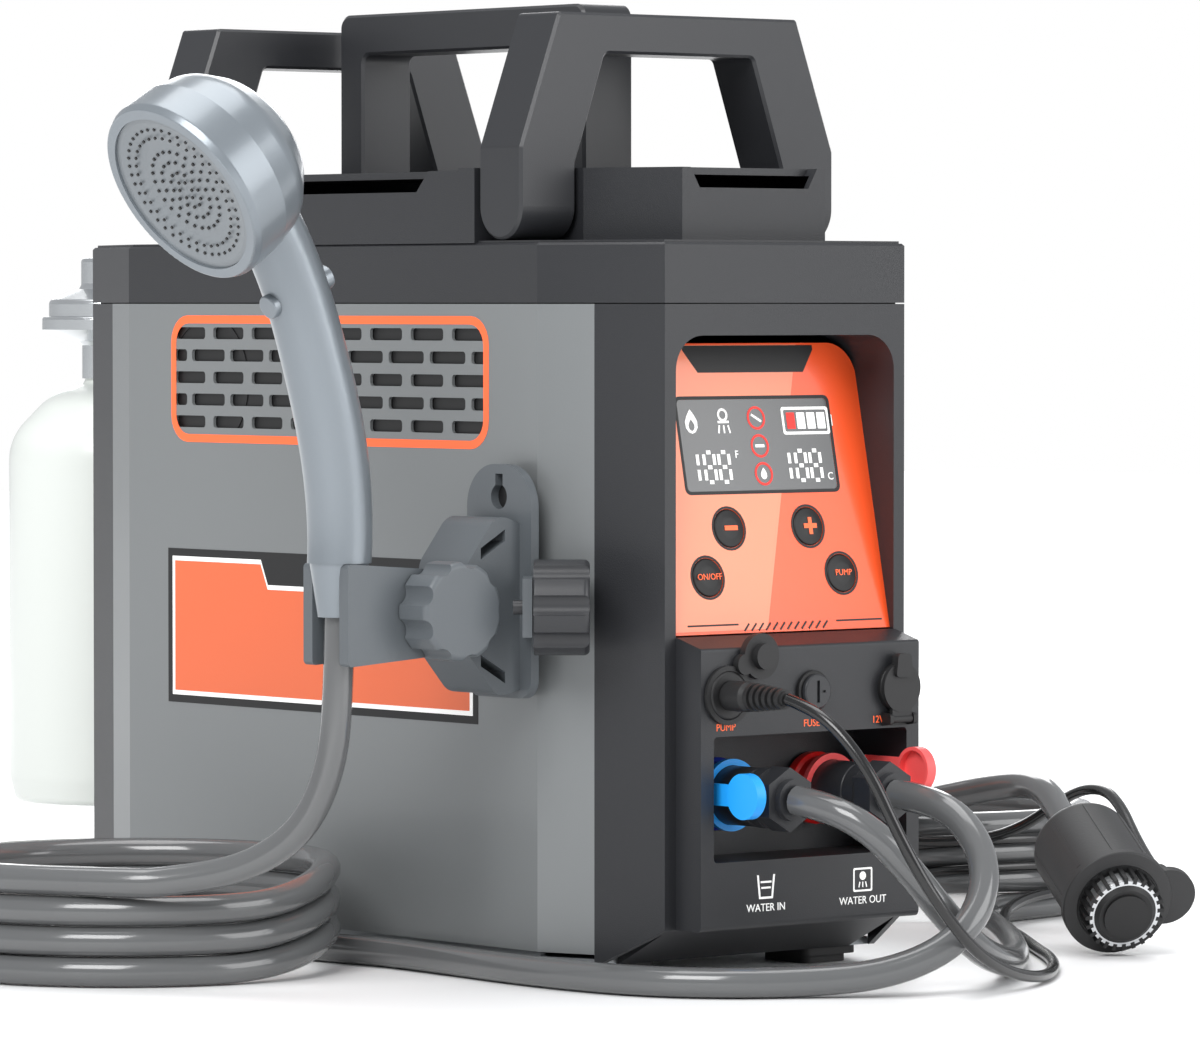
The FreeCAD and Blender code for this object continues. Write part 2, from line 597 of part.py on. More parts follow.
def make_ports():
    sockets = new_body("panel_sockets", on_box(-float(S["port_side"])))
    barrel = turn(sockets, [(0, -20), (8.6, -20), (8.6, 0), (10, 0), (10, 2, 0.6), (9.2, 2.4), (6, 2.4),
                            (6, -17), (0, -17)])
    in_row(sockets, barrel, "X_Axis", S["port_side"] * 2, 2)

    holder = new_body("fuse_holder", on_box(0))
    turn(holder, [(0, -26), (6.8, -26), (6.8, 0), (8.7, 0), (8.7, 1.8, 0.6), (8, 2.2), (5.7, 2.2), (5.7, -22), (0, -22)])
    cap = new_body("fuse_cap", on_box(0))
    turn(cap, [(0, -14), (5.6, -14), (5.6, 2.5), (7.3, 2.5), (7.3, 4, 0.7), (6.6, 4.4), (0, 4.4)])
    cut(cap, "XY_Plane", 3.2, 5, rect(-0.8, 0.8, -4.6, 4.6))
    cut(cap, "XY_Plane", 3.6, 5, rect(1.8, 4.0, -0.5, 0.5))

    # Rubber cap of the 12 V inlet: disc, short plug, finger tab above and strap below
    lid = new_body("dc_cap", on_box(float(S["port_side"])))
    add(lid, "XY_Plane", 2.7, 4.7, circles=[(0, 0, 10.4)])
    add(lid, "XY_Plane", 2.7, 6.3, [(-4.8, 4.5, 1.5), (4.8, 4.5, 1.5), (3.6, 14.4, 2), (-3.6, 14.4, 2)])
    add(lid, "XY_Plane", 2.7, 4.5, [(-5.5, -8), (-5.5, -13.2, 1.2), (5.5, -13.2, 1.2), (5.5, -8)])
    add(lid, "XY_Plane", -0.8, 3.2, circles=[(0, 0, 5.2)])
    hinge = add(lid, "YZ_Plane", -5.5, 5.5, circles=[(-13.2, 3.6, 1.6)])
    cut(lid, "YZ_Plane", -7, 7, circles=[(-13.2, 3.6, 0.8)])
    # Clip on the box that holds the strap's roll
    middle = S["port_side"] * 2
    for side in (-1, 1):
        near, far = middle + side * 5.8, middle + side * 7.6
        add(sockets, "YZ_Plane", min(near, far, key=float), max(near, far, key=float),
            [(-16, 0), (-10.4, 0), (-11, 5.6, 1.5), (-15.4, 5.6, 1.5)])
    add(sockets, "YZ_Plane", middle - 7.6, middle + 7.6, circles=[(-13.2, 3.6, 0.75)])
    add(sockets, "YZ_Plane", middle - 7.6, middle + 7.6, [(-16, 0), (-10.4, 0), (-10.4, 1), (-16, 1)])

    # Rubber cap of the pump socket, hanging open on its ring
    loose = new_body("pump_socket_cap", on_box(-float(S["port_side"])))
    add(loose, "XY_Plane", 0.3, 1.9, circles=[(0, 0, 12.2)])
    cut(loose, "XY_Plane", 0, 2.4, circles=[(0, 0, 10.15)])
    add(loose, "XY_Plane", 0.3, 1.9, [(6.2, 9.4), (9.4, 6.2), (14.5, 11), (11, 14.5)])
    add(loose, "XY_Plane", 0.3, 3.6, circles=[(16.6, 15.7, 9.5)])
    add(loose, "XY_Plane", 0.3, 3.6, circles=[(7.8, 12.6, 4.3)])
    cut(loose, "XY_Plane", 0, 3.4, circles=[(0, 0, 10.15)])
    add(loose, "XY_Plane", 3.5, 6.8, circles=[(16.6, 15.7, 5.4)])


# Water fittings in the bay. Local +Z leaves the bay's back wall.

def in_bay(side, extra=0.0):
    place = placed(float(S["fitting_side"]) * side, -float(S["bay_back"]), float(S["fitting_axis"]), V(1, 0, 0), 90)
    return place.multiply(placed(angle=extra))


def make_fittings():
    fittings = new_body("water_fittings", in_bay(-1))
    barrel = turn(fittings, [(4.5, -7), (8.5, -7), (8.5, 0), (14.2, 0), (14.2, 2), (12.3, 2), (12.3, 34, 1),
                             (9.5, 34), (9.5, 40), (4.5, 40)])
    in_row(fittings, barrel, "X_Axis", S["fitting_side"] * 2, 2)
    for side, tint in ((-1, "in"), (1, "out")):
        collar = new_body(f"water_{tint}_collar", in_bay(side))
        turn(collar, [(12.35, 2), (15.3, 2), (15.3, 6, 0.8), (13.6, 7), (13.6, 12.2), (12.35, 12.2)])
        ring = new_body(f"water_{tint}_cap", in_bay(side, 0 if side < 0 else 180))
        make_tethered_cap(ring, side)
    nuts = new_body("hose_nuts", in_bay(-1))
    corner = 13.4
    hexagon = [(corner * math.cos(math.radians(60 * step + 30)), corner * math.sin(math.radians(60 * step + 30)))
               for step in range(6)]
    nut = add(nuts, "XY_Plane", 40, 51, hexagon)
    skirt = add(nuts, "XY_Plane", 35, 41, circles=[(0, 0, 12.6)])
    neck = add(nuts, "XY_Plane", 50, 54, circles=[(0, 0, 8.6)])
    bore = cut(nuts, "XY_Plane", 34.2, 40, circles=[(0, 0, 9.6)])
    throat = cut(nuts, "XY_Plane", 39, 53, circles=[(0, 0, 4.5)])
    row = in_row(nuts, nut, "X_Axis", S["fitting_side"] * 2, 2)
    row.Originals = [nut, skirt, neck, bore, throat]


def make_tethered_cap(cap, side):
    """Swivel ring on the fitting, flat strap and cup-shaped cap at its end."""
    add(cap, "XY_Plane", 12.6, 15.2, circles=[(0, 0, 15.1)])
    cut(cap, "XY_Plane", 12, 16, circles=[(0, 0, 12.5)])
    lift = 2.0 if side < 0 else -9.0
    add(cap, "XY_Plane", 12.6, 14.6, rect(-21.2, -13.6, lift - 4.5, lift + 4.5))
    add(cap, "XY_Plane", 13.6, 40, rect(-21.2, -19.7, lift - 4.5, lift + 4.5))
    add(cap, "YZ_Plane", -22, -17.2, circles=[(lift, 46, 9.5)])
    cut(cap, "YZ_Plane", -20.3, -17, circles=[(lift, 46, 8.0)])


# Inside the heater

def make_works():
    chamber = new_body("combustion_chamber")
    add(chamber, "XY_Plane", 40, 142, rect(-62, 62, -62, 92), rect(-60.5, 60.5, -60.5, 90.5))
    leg = add(chamber, "XY_Plane", 10, 40, rect(-62, -60.5, -58, -50))
    in_row(chamber, leg, "X_Axis", 122.5, 2, ("Y_Axis", 140, 2))

    burner = new_body("burner")
    bar = add(burner, "XY_Plane", 30, 48, rect(-56, -44, -50, 80, 2))
    in_row(burner, bar, "X_Axis", 100, 5)
    add(burner, "XY_Plane", 26, 32, rect(-58, 58, 66, 78))
    add(burner, "XY_Plane", 10, 32, rect(-6, 6, 68, 76))
    add(burner, "XY_Plane", 10, 31, rect(-58, -54, -50, -44), rect(54, 58, -50, -44))
    add(burner, "XY_Plane", 30, 34, rect(-58, 58, -50, -44))

    exchanger = new_body("heat_exchanger")
    fin = add(exchanger, "XZ_Plane", -61, -60, rect(-60, 60, 142, 198))
    in_row(exchanger, fin, "Y_Axis", 150, 16)
    add(exchanger, "XZ_Plane", -66, 95, rect(-46, 46, 151, 188))
    add(exchanger, "XZ_Plane", -78, -65, rect(-50, 50, 148, 191))
    add(exchanger, "XZ_Plane", 94, 103, rect(-50, 50, 148, 191))

    valve = new_body("gas_valve")
    add(valve, "XY_Plane", 60, 88, rect(-16, 16, 118, 144))
    add(valve, "XY_Plane", 10, 61, rect(-5, 5, 129, 139))
    add(valve, "XY_Plane", 87, 104, circles=[(0, 134, 9)])
    add(valve, "XZ_Plane", 98, 119, rect(-4, 4, 66, 76))
    add(valve, "XY_Plane", 26, 76, rect(-4, 4, 98, 106))
    add(valve, "XZ_Plane", 78, 99, rect(-3, 3, 26, 29.8))

    fan = new_body("exhaust_fan", placed(-float(S["body_half_width"]) + float(S["sheet_thick"]), 87, 247, V(0, 1, 0), 90))
    turn(fan, [(27, 0), (30, 0), (30, 18), (27, 18)])
    turn(fan, [(0, 6), (9, 6), (9, 17), (0, 17)])
    add(fan, "XY_Plane", 14, 17, rect(-28, 28, -1.5, 1.5), rect(-1.5, 1.5, 2, 28), rect(-1.5, 1.5, -28, -2))
    blade = add(fan, "XY_Plane", 7, 12, [(7, -2), (25, -7), (25, 3), (7, 3)])
    in_ring(fan, blade, 7)

    battery = new_body("battery_pack")
    add(battery, "XY_Plane", 10, 13, rect(-34, 34, 144.8, 166.6))
    cell = add(battery, "XY_Plane", 12, 80, circles=[(-24, 155.7, 9)])
    in_row(battery, cell, "X_Axis", 48, 3)
    add(battery, "XY_Plane", 78, 81, rect(-34, 34, 145.8, 165.6))


# Gas bottle and regulator, both turned about one upright axis

def make_gas():
    place = placed(0, float(S["bottle_axis"]), 0)
    bottle = new_body("gas_bottle", place)
    size, low, top = S["bottle_round"], S["bottle_low"], S["bottle_top"]
    turn(bottle, [(0, low + 6), (size - 12, low + 6), (size - 9, low, 3), (size - 3, low, 4), (size, low + 12, 12),
                  (size, top - 26, 26), (size - 19, top - 6, 30), (14, top, 3), (14, top + 2.2), (0, top + 2.2)])
    neck = new_body("regulator", place)
    turn(neck, [(0, top + 2.2), (15.3, top + 2.2), (15.3, 262), (17.5, 264), (34, 269.4), (34, 275.5, 1.5),
                (30.8, 275.5), (30.8, 283, 2.5), (15.7, 289, 3), (15.7, 303, 2), (0, 303)])
    pipe = new_body("gas_inlet_pipe", placed(0, float(S["body_half_depth"]), 274, V(1, 0, 0), -90))
    turn(pipe, [(2.4, -24), (5, -24), (5, 8), (8.6, 8), (8.6, 22), (3.6, 24), (3.6, 40.8), (2.4, 40.8)])
    add(pipe, "XY_Plane", 10, 20, [(10.2 * math.cos(math.radians(60 * step)),
                                    10.2 * math.sin(math.radians(60 * step))) for step in range(6)])


# Shower holder on the left side

def make_holder():
    middle = -S["holder_side"]
    pad = new_body("holder_pad")
    face = -S["body_half_width"]
    shape = [(middle - 21, 118, 8), (middle + 21, 118, 8), (middle + 21, 215, 18), (middle - 21, 215, 18)]
    # The pad and the plate behind it stop short of the corner fold of the side panel
    flat = [(-141.5, 119, 8), (middle + 19, 119, 8), (middle + 19, 213, 14), (-141.5, 213, 14)]
    add(pad, "YZ_Plane", face - 7, face, flat)
    plate = new_body("holder_bracket")
    back = face - 7
    front = back - 4
    add(plate, "YZ_Plane", front, back, shape)
    wedge = [(back - 2, 122), (front - 12, 119, 9), (-S["arm_axis"] + 17, 138, 10), (-S["arm_axis"] + 17, 174, 10),
             (front - 12, 195, 9), (back - 2, 190)]
    add(plate, "XZ_Plane", middle - 13.5, middle + 18, wedge)
    level = S["arm_level"]
    tongue = [(front - 6, level - 13), (-S["arm_axis"] - 14, level - 13, 10),
              (-S["arm_axis"] - 14, level + 13, 10), (front - 6, level + 13)]
    add(plate, "XZ_Plane", middle - S["tongue_half"], middle + S["tongue_half"], tongue)
    for centre_z, lean in ((183, 5), (130, -5)):
        slit = [(-120, centre_z - lean * 0.9 - 2.4), (-107, centre_z + lean * 0.6 - 2.4),
                (-107, centre_z + lean * 0.6 + 2.4), (-120, centre_z - lean * 0.9 + 2.4)]
        cut(plate, "XZ_Plane", middle - 20, middle + 20, slit)
    cut(plate, "YZ_Plane", front - 1, back + 1, circles=[(middle, 201.5, 5.2)])
    cut(plate, "YZ_Plane", front - 1, back + 1, rect(middle - 2.4, middle + 2.4, 201, 211))
    cut(plate, "XZ_Plane", middle - 20, middle + 20, circles=[(-S["arm_axis"], level, 3.3)])
    # Angled side lug for the lock knob
    lug_start, lug_side = V(-95.9, -149.2, 0), V(-0.6468, -0.7627, 0)
    lug_out = V(-0.7627, 0.6468, 0)
    lug_end = lug_start + lug_side * 32
    lug = [lug_start, lug_end, lug_end + lug_out * 4, lug_start + lug_out * 4]
    add(plate, "XY_Plane", 145, 169, [(point.x, point.y) for point in lug])

    make_arm(middle, level)
    knob_centre = lug_start + lug_side * 24.3
    turned = FreeCAD.Rotation(V(0, 0, 1), -lug_out)
    knob = new_body("lock_knob", FreeCAD.Placement(V(knob_centre.x, knob_centre.y, 157), turned))
    make_knob(knob, 20, 0.5, 23.5, 8, -8)
    cutter = document.addObject("Part::Cylinder", "LugBore")
    cutter.Radius = 3.05
    cutter.Height = 12
    cutter.Placement = FreeCAD.Placement(V(knob_centre.x, knob_centre.y, 157) - lug_out * 2, FreeCAD.Rotation(V(0, 0, 1), lug_out))
    drilled = document.addObject("Part::Cut", "DrilledBracket")
    drilled.Base = plate
    drilled.Tool = cutter
    plate.Label = "bracket_blank"
    keep("holder_bracket", drilled)


def make_knob(knob, size, low, high, lobes, stud_end):
    """A scalloped hand knob with its stud, turned about local Z."""
    turn(knob, [(0, low), (size, low, 0.8), (size, high, 2.5), (0, high)])
    reach = size + 2.6
    scallop = cut(knob, "XY_Plane", low - 1, high + 1, circles=[(reach, 0, 5.2)])
    in_ring(knob, scallop, lobes)
    add(knob, "XY_Plane", stud_end, low + 1, circles=[(0, 0, 3)])


def make_arm(middle, level):
    """Fork that carries the shower, and the two cheeks that pinch the bracket's tongue."""
    arm = new_body("holder_arm")
    half = S["arm_half"]
    tip = -S["cradle_axis"] - 7
    pivot = -S["arm_axis"]
    side_view = [(tip, S["arm_low"], 2), (pivot - 4, S["arm_low"] + 3), (pivot + 15.5, level - 15.5, 15.4),
                 (pivot + 15.5, level + 15.5, 15.4), (pivot - 4, S["arm_top"] - 3), (tip, S["arm_top"], 2)]
    add(arm, "XZ_Plane", middle - half, middle + half, side_view)
    gap = S["tongue_half"] + 0.4
    cut(arm, "XZ_Plane", middle - gap, middle + gap, rect(pivot - 15, pivot + 20, 125, 185))
    cradle = 8.95
    channel = [(-S["cradle_axis"] + cradle, middle - cradle, cradle - 0.01), (-S["cradle_axis"] + cradle, middle + cradle, cradle - 0.01),
               (tip - 2, middle + cradle), (tip - 2, middle - cradle)]
    cut(arm, "XY_Plane", S["arm_low"] - 1, S["arm_top"] + 1, channel)
    # The pin across the tongue is part of the arm, and the knob's stud stays in the near cheek
    cut(arm, "XZ_Plane", middle - half - 1, middle - gap, circles=[(pivot, level, 3.05)])
    add(arm, "XZ_Plane", middle - gap, middle + half, circles=[(pivot, level, 3)])
    seat = document.addObject("Part::Cone", "ConeSeat")
    seat.Radius1 = 8.95
    seat.Radius2 = 12.28
    seat.Height = 22.2
    seat.Placement = placed(-float(S["cradle_axis"]), -float(S["holder_side"]), 154)
    seated = document.addObject("Part::Cut", "SeatedArm")
    seated.Base = arm
    seated.Tool = seat
    arm.Label = "arm_blank"
    keep("holder_arm", seated)
    clamp = new_body("clamp_knob", placed(-float(S["arm_axis"]), -float(S["holder_side"]) - float(half) - 0.3,
                                          float(level), V(1, 0, 0), 90))
    make_knob(clamp, 20.4, 0.2, 18, 9, float(gap) - float(half))


# Hand shower, symmetric about the plane of the holder

HEAD_BACK = V(0.838, 0, 0.5457)
RIM_CENTRE = V(-263.8, -131, 325.1)


def head_place():
    """Local +Z runs from the spray face to the back of the head."""
    return FreeCAD.Placement(RIM_CENTRE, FreeCAD.Rotation(V(0, 0, 1), HEAD_BACK))


def make_shower():
    side = -float(S["holder_side"])
    axis_x = -float(S["cradle_axis"])
    sections = [(axis_x, 176.0, 13.2, 0), (axis_x - 0.3, 202, 13.6, 3), (-188.0, 230, 13.9, 10),
                (-196.5, 261, 13.8, 17), (-207.0, 290, 13.6, 24), (-221.0, 316, 13.4, 33), (-231.0, 330, 12.4, 38)]
    rings = []
    for x, z, radius, lean in sections:
        ring = document.addObject("Part::Circle", "HandleRing")
        ring.Radius = radius
        ring.Placement = placed(x, side, z, V(0, 1, 0), -lean)
        rings.append(ring)
    handle = document.addObject("Part::Loft", "ShowerHandle")
    handle.Sections = rings
    handle.Solid = True
    head = document.addObject("PartDesign::Body", "ShowerHead")
    head.Placement = head_place()
    turn(head, [(35.4, 0), (39.6, 0, 0.8), (41, 3, 2), (40.6, 18), (38, 31, 14), (29, 42, 14), (14, 49.4, 10), (0, 50),
                (0, 7), (35.4, 7)])
    cone = document.addObject("PartDesign::Body", "ShowerCone")
    cone.Placement = placed(axis_x, side, 154)
    turn(cone, [(0, 0), (8.9, 0), (12.2, 22), (0, 22)])
    joined = document.addObject("Part::MultiFuse", "ShowerJoined")
    joined.Shapes = [handle, head, cone]
    stop_centre, stop_axis = V(-204.9, side, 286.3), V(0.921, 0, 0.39)
    bore = document.addObject("Part::Cylinder", "StopBore")
    bore.Radius = 5.05
    bore.Height = 60
    bore.Placement = FreeCAD.Placement(stop_centre - stop_axis * 30, FreeCAD.Rotation(V(0, 0, 1), stop_axis))
    well = document.addObject("PartDesign::Body", "ModeWell")
    well.Placement = head_place()
    slot = [(-15.3, -6.8, 6.7), (15.3, -6.8, 6.7), (15.3, 6.8, 6.7), (-15.3, 6.8, 6.7)]
    add(well, "XY_Plane", 42.5, 56, slot)
    carved = document.addObject("Part::Cut", "ShowerCarved")
    carved.Base = joined
    tools = document.addObject("Part::MultiFuse", "ShowerTools")
    tools.Shapes = [bore, well]
    carved.Tool = tools
    keep("shower_body", carved)

    mode = new_body("mode_button", head_place())
    small = [(-15, -6.5, 6.4), (15, -6.5, 6.4), (15, 6.5, 6.4), (-15, 6.5, 6.4)]
    add(mode, "XY_Plane", 44.2, 51.2, small)
    face = new_body("shower_face", head_place())
    turn(face, [(0, 4.2), (22, 3.4), (33, 1.2), (35.3, 1.2), (35.3, 7), (0, 7)])
    stop = new_body("stop_button", FreeCAD.Placement(stop_centre, FreeCAD.Rotation(V(0, 0, 1), stop_axis)))
    turn(stop, [(0, -16.7), (5, -16.7, 0.8), (5, 16.7, 0.8), (0, 16.7)])


# Submersible pump, turned about its own axis. Local +Z leaves the strainer end.

PUMP_AXIS = V(-0.41, -0.83, -0.375)
PUMP_LOBE = 24.8


def pump_rotation():
    """Local +Z along the pump's axis, local +X towards its cable lobe, which is level with the axis."""
    return FreeCAD.Rotation(V(0.877, -0.472, 0.086), V(0, 0, 0), PUMP_AXIS, "ZXY")


def make_pump():
    place = FreeCAD.Placement(V(172, -222, 22.8), pump_rotation())
    pump = new_body("pump_body", place)
    turn(pump, [(0, -68), (9, -68), (9, -62), (16, -62, 4), (22, -54, 6), (22, -6), (24.4, -4), (24.4, 0, 0.8),
                (18.6, 1), (18.6, -5), (0, -5)])
    add(pump, "XY_Plane", -4, -0.4, circles=[(PUMP_LOBE - 2.6, 0, 13)])
    add(pump, "XY_Plane", -22, -3, circles=[(PUMP_LOBE, 0, 5)])
    rib = add(pump, "XY_Plane", -52, -8, rect(21, 22.2, -1, 1))
    in_ring(pump, rib, 8)
    cut(pump, "XY_Plane", -5, 2, circles=[(0, 0, 18.6)])
    strainer = new_body("pump_strainer", place)
    turn(strainer, [(0, -5), (18.4, -5), (18.4, 1), (15.6, 1), (15.6, 9.4, 3), (12, 12.4), (0, 12.4)])
    bar = add(strainer, "XY_Plane", 0, 11, rect(14.6, 17.6, -0.9, 0.9))
    in_ring(strainer, bar, 24)
    add(strainer, "XY_Plane", 12, 13.6, circles=[(0, 0, 10)])


# Hoses and cables. A route is straight runs joined by tangent arcs.

def route_edges(points):
    edges = []
    radii = []
    last = points[0]
    for index in range(1, len(points) - 1):
        before, point, after = points[index - 1], points[index], points[index + 1]
        shorter = min((point - before).Length, (after - point).Length)
        turn_angle = (point - before).getAngle(after - point)
        radius = 0.45 * shorter / math.tan(turn_angle / 2)
        start, end, centre = corner_arc(before, point, after, radius)
        middle = centre + (point - centre).normalize() * radius
        edges.append(Part.LineSegment(last, start).toShape())
        edges.append(Part.Arc(start, middle, end).toShape())
        radii.append(round(radius, 1))
        last = end
    edges.append(Part.LineSegment(last, points[-1]).toShape())
    return edges, radii


def make_tube(label, points, radius):
    points = [V(*point) for point in points]
    radius = float(radius)
    edges, radii = route_edges(points)
    path = Part.Wire(edges)
    start = Part.Circle(points[0], points[1] - points[0], radius).toShape()
    solid = path.makePipeShell([Part.Wire(start)], True, False)
    share = solid.Volume / (math.pi * radius * radius * path.Length)
    lowest = solid.optimalBoundingBox().ZMin
    print(f"{label}: length {path.Length:.0f}, radii {radii}, volume share {share:.4f},"
          f" lowest {lowest:.2f}, valid {solid.isValid()}")
    tube = document.addObject("Part::Feature", "Tube_" + label)
    tube.Shape = solid
    keep(label, tube, placed())


SHOWER_RUN = [(28, -236.7, 77.5), (28, -256, 76.5), (29.5, -276, 69), (27, -292, 53), (16, -301, 35),
              (-2, -300, 19), (-24, -286, 9), (-50, -266, 6.3), (-76, -250, 6.3), (-96, -224, 6.3),
              (-104, -188, 6.3), (-105, -146, 6.3), (-102, -104, 6.3), (-99.6, -60, 6.3)]
SHOWER_RISER = [(-183.5, -131, 153.6), (-184.2, -131.3, 122), (-186, -129, 92), (-193, -119, 66), (-208, -100, 50),
                (-222, -81.5, 45.6)]
PUMP_RUN = [(-28, -237.1, 77.5), (-26, -256, 75.5), (-17, -272, 66), (-5, -281, 50), (8, -287, 32),
            (30, -285, 15), (62, -269, 7), (96, -238, 6.3), (126, -204, 6.3), (154, -170, 6.3),
            (180, -136, 6.3), (202, -104, 6.3), (225, -84, 6.3)]
PUMP_TAIL = [(199.9, -165.5, 48.3), (207.3, -150.6, 55), (216, -133, 64), (223, -112, 66), (222, -90, 63),
             (211, -70, 58.5), (203, -50, 57)]
CABLE_RUN = [(-47.3, -253, 120.5), (-46, -268, 117), (-42, -282, 106), (-37, -293, 90), (-32, -301, 70),
             (-25, -309, 50), (-13, -313, 32), (6, -310, 17), (32, -302, 7), (62, -290, 2.6), (96, -262, 2.6),
             (126, -228, 2.6), (150, -194, 2.6), (180, -154, 2.6), (204, -119, 2.6), (222, -98, 7),
             (243, -88.5, 10)]
CABLE_TAIL = [(202.8, -215.4, 33.2), (210.2, -200.5, 39.9), (219, -184, 48.5), (228, -168, 58), (236, -150, 65),
              (240, -130, 64), (240, -112, 55), (235, -97, 45), (225, -85, 39.5), (215, -72.5, 38.4)]


def make_cords():
    hose, cable = S["hose_round"], S["cable_round"]
    make_tube("shower_hose_run", SHOWER_RUN, hose)
    make_tube("shower_hose_riser", SHOWER_RISER, hose)
    make_tube("pump_hose_run", PUMP_RUN, hose)
    make_tube("pump_hose_tail", PUMP_TAIL, hose)
    make_tube("pump_cable_run", CABLE_RUN, cable)
    make_tube("pump_cable_tail", CABLE_TAIL, cable)
    # Each coil is one closed ring of its outer shape
    size = float(hose)
    across, deep = float(S["coil_across"]), float(S["coil_deep"])
    tall = V(0, 0, float(S["coil_tall"]))
    outer = Part.Face(Part.Wire(Part.Ellipse(V(0, 0, 0), across + size, deep + size).toShape())).extrude(tall)
    inner = Part.Face(Part.Wire(Part.Ellipse(V(0, 0, 0), across - size, deep - size).toShape())).extrude(tall)
    coil = document.addObject("Part::Feature", "ShowerCoil")
    coil.Shape = outer.cut(inner)
    keep("shower_hose_coil", coil, placed(-float(S["coil_side"]), 4, 0, angle=-40.3))
    reel = new_body("pump_hose_coil", placed(float(S["reel_side"]), 6, 0))
    add(reel, "XY_Plane", 0, S["reel_tall"], circles=[(0, 0, S["reel_round"] + hose), (0, 0, S["reel_round"] - hose)])
    wound = new_body("pump_cable_coil", placed(float(S["reel_side"]), 6, 0))
    inside = S["reel_round"] + hose + 0.1
    add(wound, "XY_Plane", 13.5, 45, circles=[(0, 0, inside), (0, 0, inside + cable * 2)])
    plug = new_body("pump_plug", on_box(-float(S["port_side"])))
    ribs = []
    for step in range(6):
        height = 17 + 3.4 * step
        ribs += [(6.0 - 0.35 * step, height), (6.0 - 0.35 * step, height + 1.9), (4.6 - 0.3 * step, height + 1.9),
                 (4.6 - 0.3 * step, height + 3.4)]
    turn(plug, [(0, -14), (5.8, -14), (5.8, 4), (6.3, 4), (6.3, 14, 1), (5, 15.5), (5, 17)] + ribs + [(0, ribs[-1][1])])


make_base()
make_side_panel("side_panel_left", 0)
make_side_panel("side_panel_right", 180)
make_front_cover()
make_rear_cover()
make_lid()
make_carrier()
make_grip("front_handle", -1)
make_grip("rear_handle", 1)
make_crown()
make_pins()
make_panel()
make_ports()
make_fittings()
make_works()
make_gas()
make_holder()
make_shower()
make_pump()
make_cords()
document.recompute()

# Every object has to be up to date, and every sub-part a valid closed solid, before a file is written.
for item in document.Objects:
    if "Invalid" in item.State or "Error" in item.State:
        raise RuntimeError(f"{item.Label} failed: {item.State}")
for label, part in PARTS.items():
    shape = part.Shape
    if shape.isNull() or not shape.isValid() or not shape.Solids:
        raise RuntimeError(f"{label} is not a valid solid")
    box = shape.optimalBoundingBox()
    print(f"{label}: x {box.XMin:.2f} {box.XMax:.2f}, y {box.YMin:.2f} {box.YMax:.2f},"
          f" z {box.ZMin:.2f} {box.ZMax:.2f}, {len(shape.Solids)} solids")
for label, part in PARTS.items():
    part.Shape.exportStep(f"parts/{label}.step")
print(len(PARTS), "sub-parts written")
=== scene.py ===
import math

import bpy
from mathutils import Matrix, Vector


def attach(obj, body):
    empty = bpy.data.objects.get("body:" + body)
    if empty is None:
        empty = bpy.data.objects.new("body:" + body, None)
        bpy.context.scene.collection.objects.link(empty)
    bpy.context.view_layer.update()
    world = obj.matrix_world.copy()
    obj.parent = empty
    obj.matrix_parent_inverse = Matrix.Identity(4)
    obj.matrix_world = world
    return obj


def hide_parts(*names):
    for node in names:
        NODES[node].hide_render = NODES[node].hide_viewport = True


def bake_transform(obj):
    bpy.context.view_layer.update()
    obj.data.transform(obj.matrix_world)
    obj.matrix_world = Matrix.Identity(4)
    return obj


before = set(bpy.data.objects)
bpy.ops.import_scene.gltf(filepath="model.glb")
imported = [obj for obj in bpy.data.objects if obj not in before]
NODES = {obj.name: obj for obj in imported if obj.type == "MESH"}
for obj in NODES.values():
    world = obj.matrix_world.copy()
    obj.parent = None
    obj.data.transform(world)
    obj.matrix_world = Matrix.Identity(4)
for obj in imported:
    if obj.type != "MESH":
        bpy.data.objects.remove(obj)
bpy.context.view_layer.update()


# Materials

def shade(name, colour, rough, metal=0.0, coat=0.0, grain=0.0, grain_scale=900.0):
    """A Principled surface with a fine procedural grain in its bump."""
    made = bpy.data.materials.new(name)
    made.use_nodes = True
    tree = made.node_tree
    surface = tree.nodes["Principled BSDF"]
    surface.inputs["Base Color"].default_value = (*srgb(colour), 1)
    surface.inputs["Roughness"].default_value = rough
    surface.inputs["Metallic"].default_value = metal
    surface.inputs["Coat Weight"].default_value = coat
    surface.inputs["Coat Roughness"].default_value = 0.12
    if grain:
        where = tree.nodes.new("ShaderNodeTexCoord")
        noise = tree.nodes.new("ShaderNodeTexNoise")
        noise.inputs["Scale"].default_value = grain_scale
        noise.inputs["Detail"].default_value = 3
        bump = tree.nodes.new("ShaderNodeBump")
        bump.inputs["Strength"].default_value = grain
        bump.inputs["Distance"].default_value = 0.0004
        tree.links.new(where.outputs["Object"], noise.inputs["Vector"])
        tree.links.new(noise.outputs["Fac"], bump.inputs["Height"])
        tree.links.new(bump.outputs["Normal"], surface.inputs["Normal"])
    return made


def srgb(text):
    """Six hex digits as the linear colour that a shader takes."""
    parts = [int(text[i:i + 2], 16) / 255 for i in (0, 2, 4)]
    return [part / 12.92 if part <= 0.04045 else ((part + 0.055) / 1.055) ** 2.4 for part in parts]


def glow(name, colour, strength):
    """A print that keeps its colour in shadow, by giving off a little painted light."""
    made = shade(name, colour, 0.4)
    surface = made.node_tree.nodes["Principled BSDF"]
    surface.inputs["Emission Color"].default_value = (*srgb(colour), 1)
    surface.inputs["Emission Strength"].default_value = strength
    return made


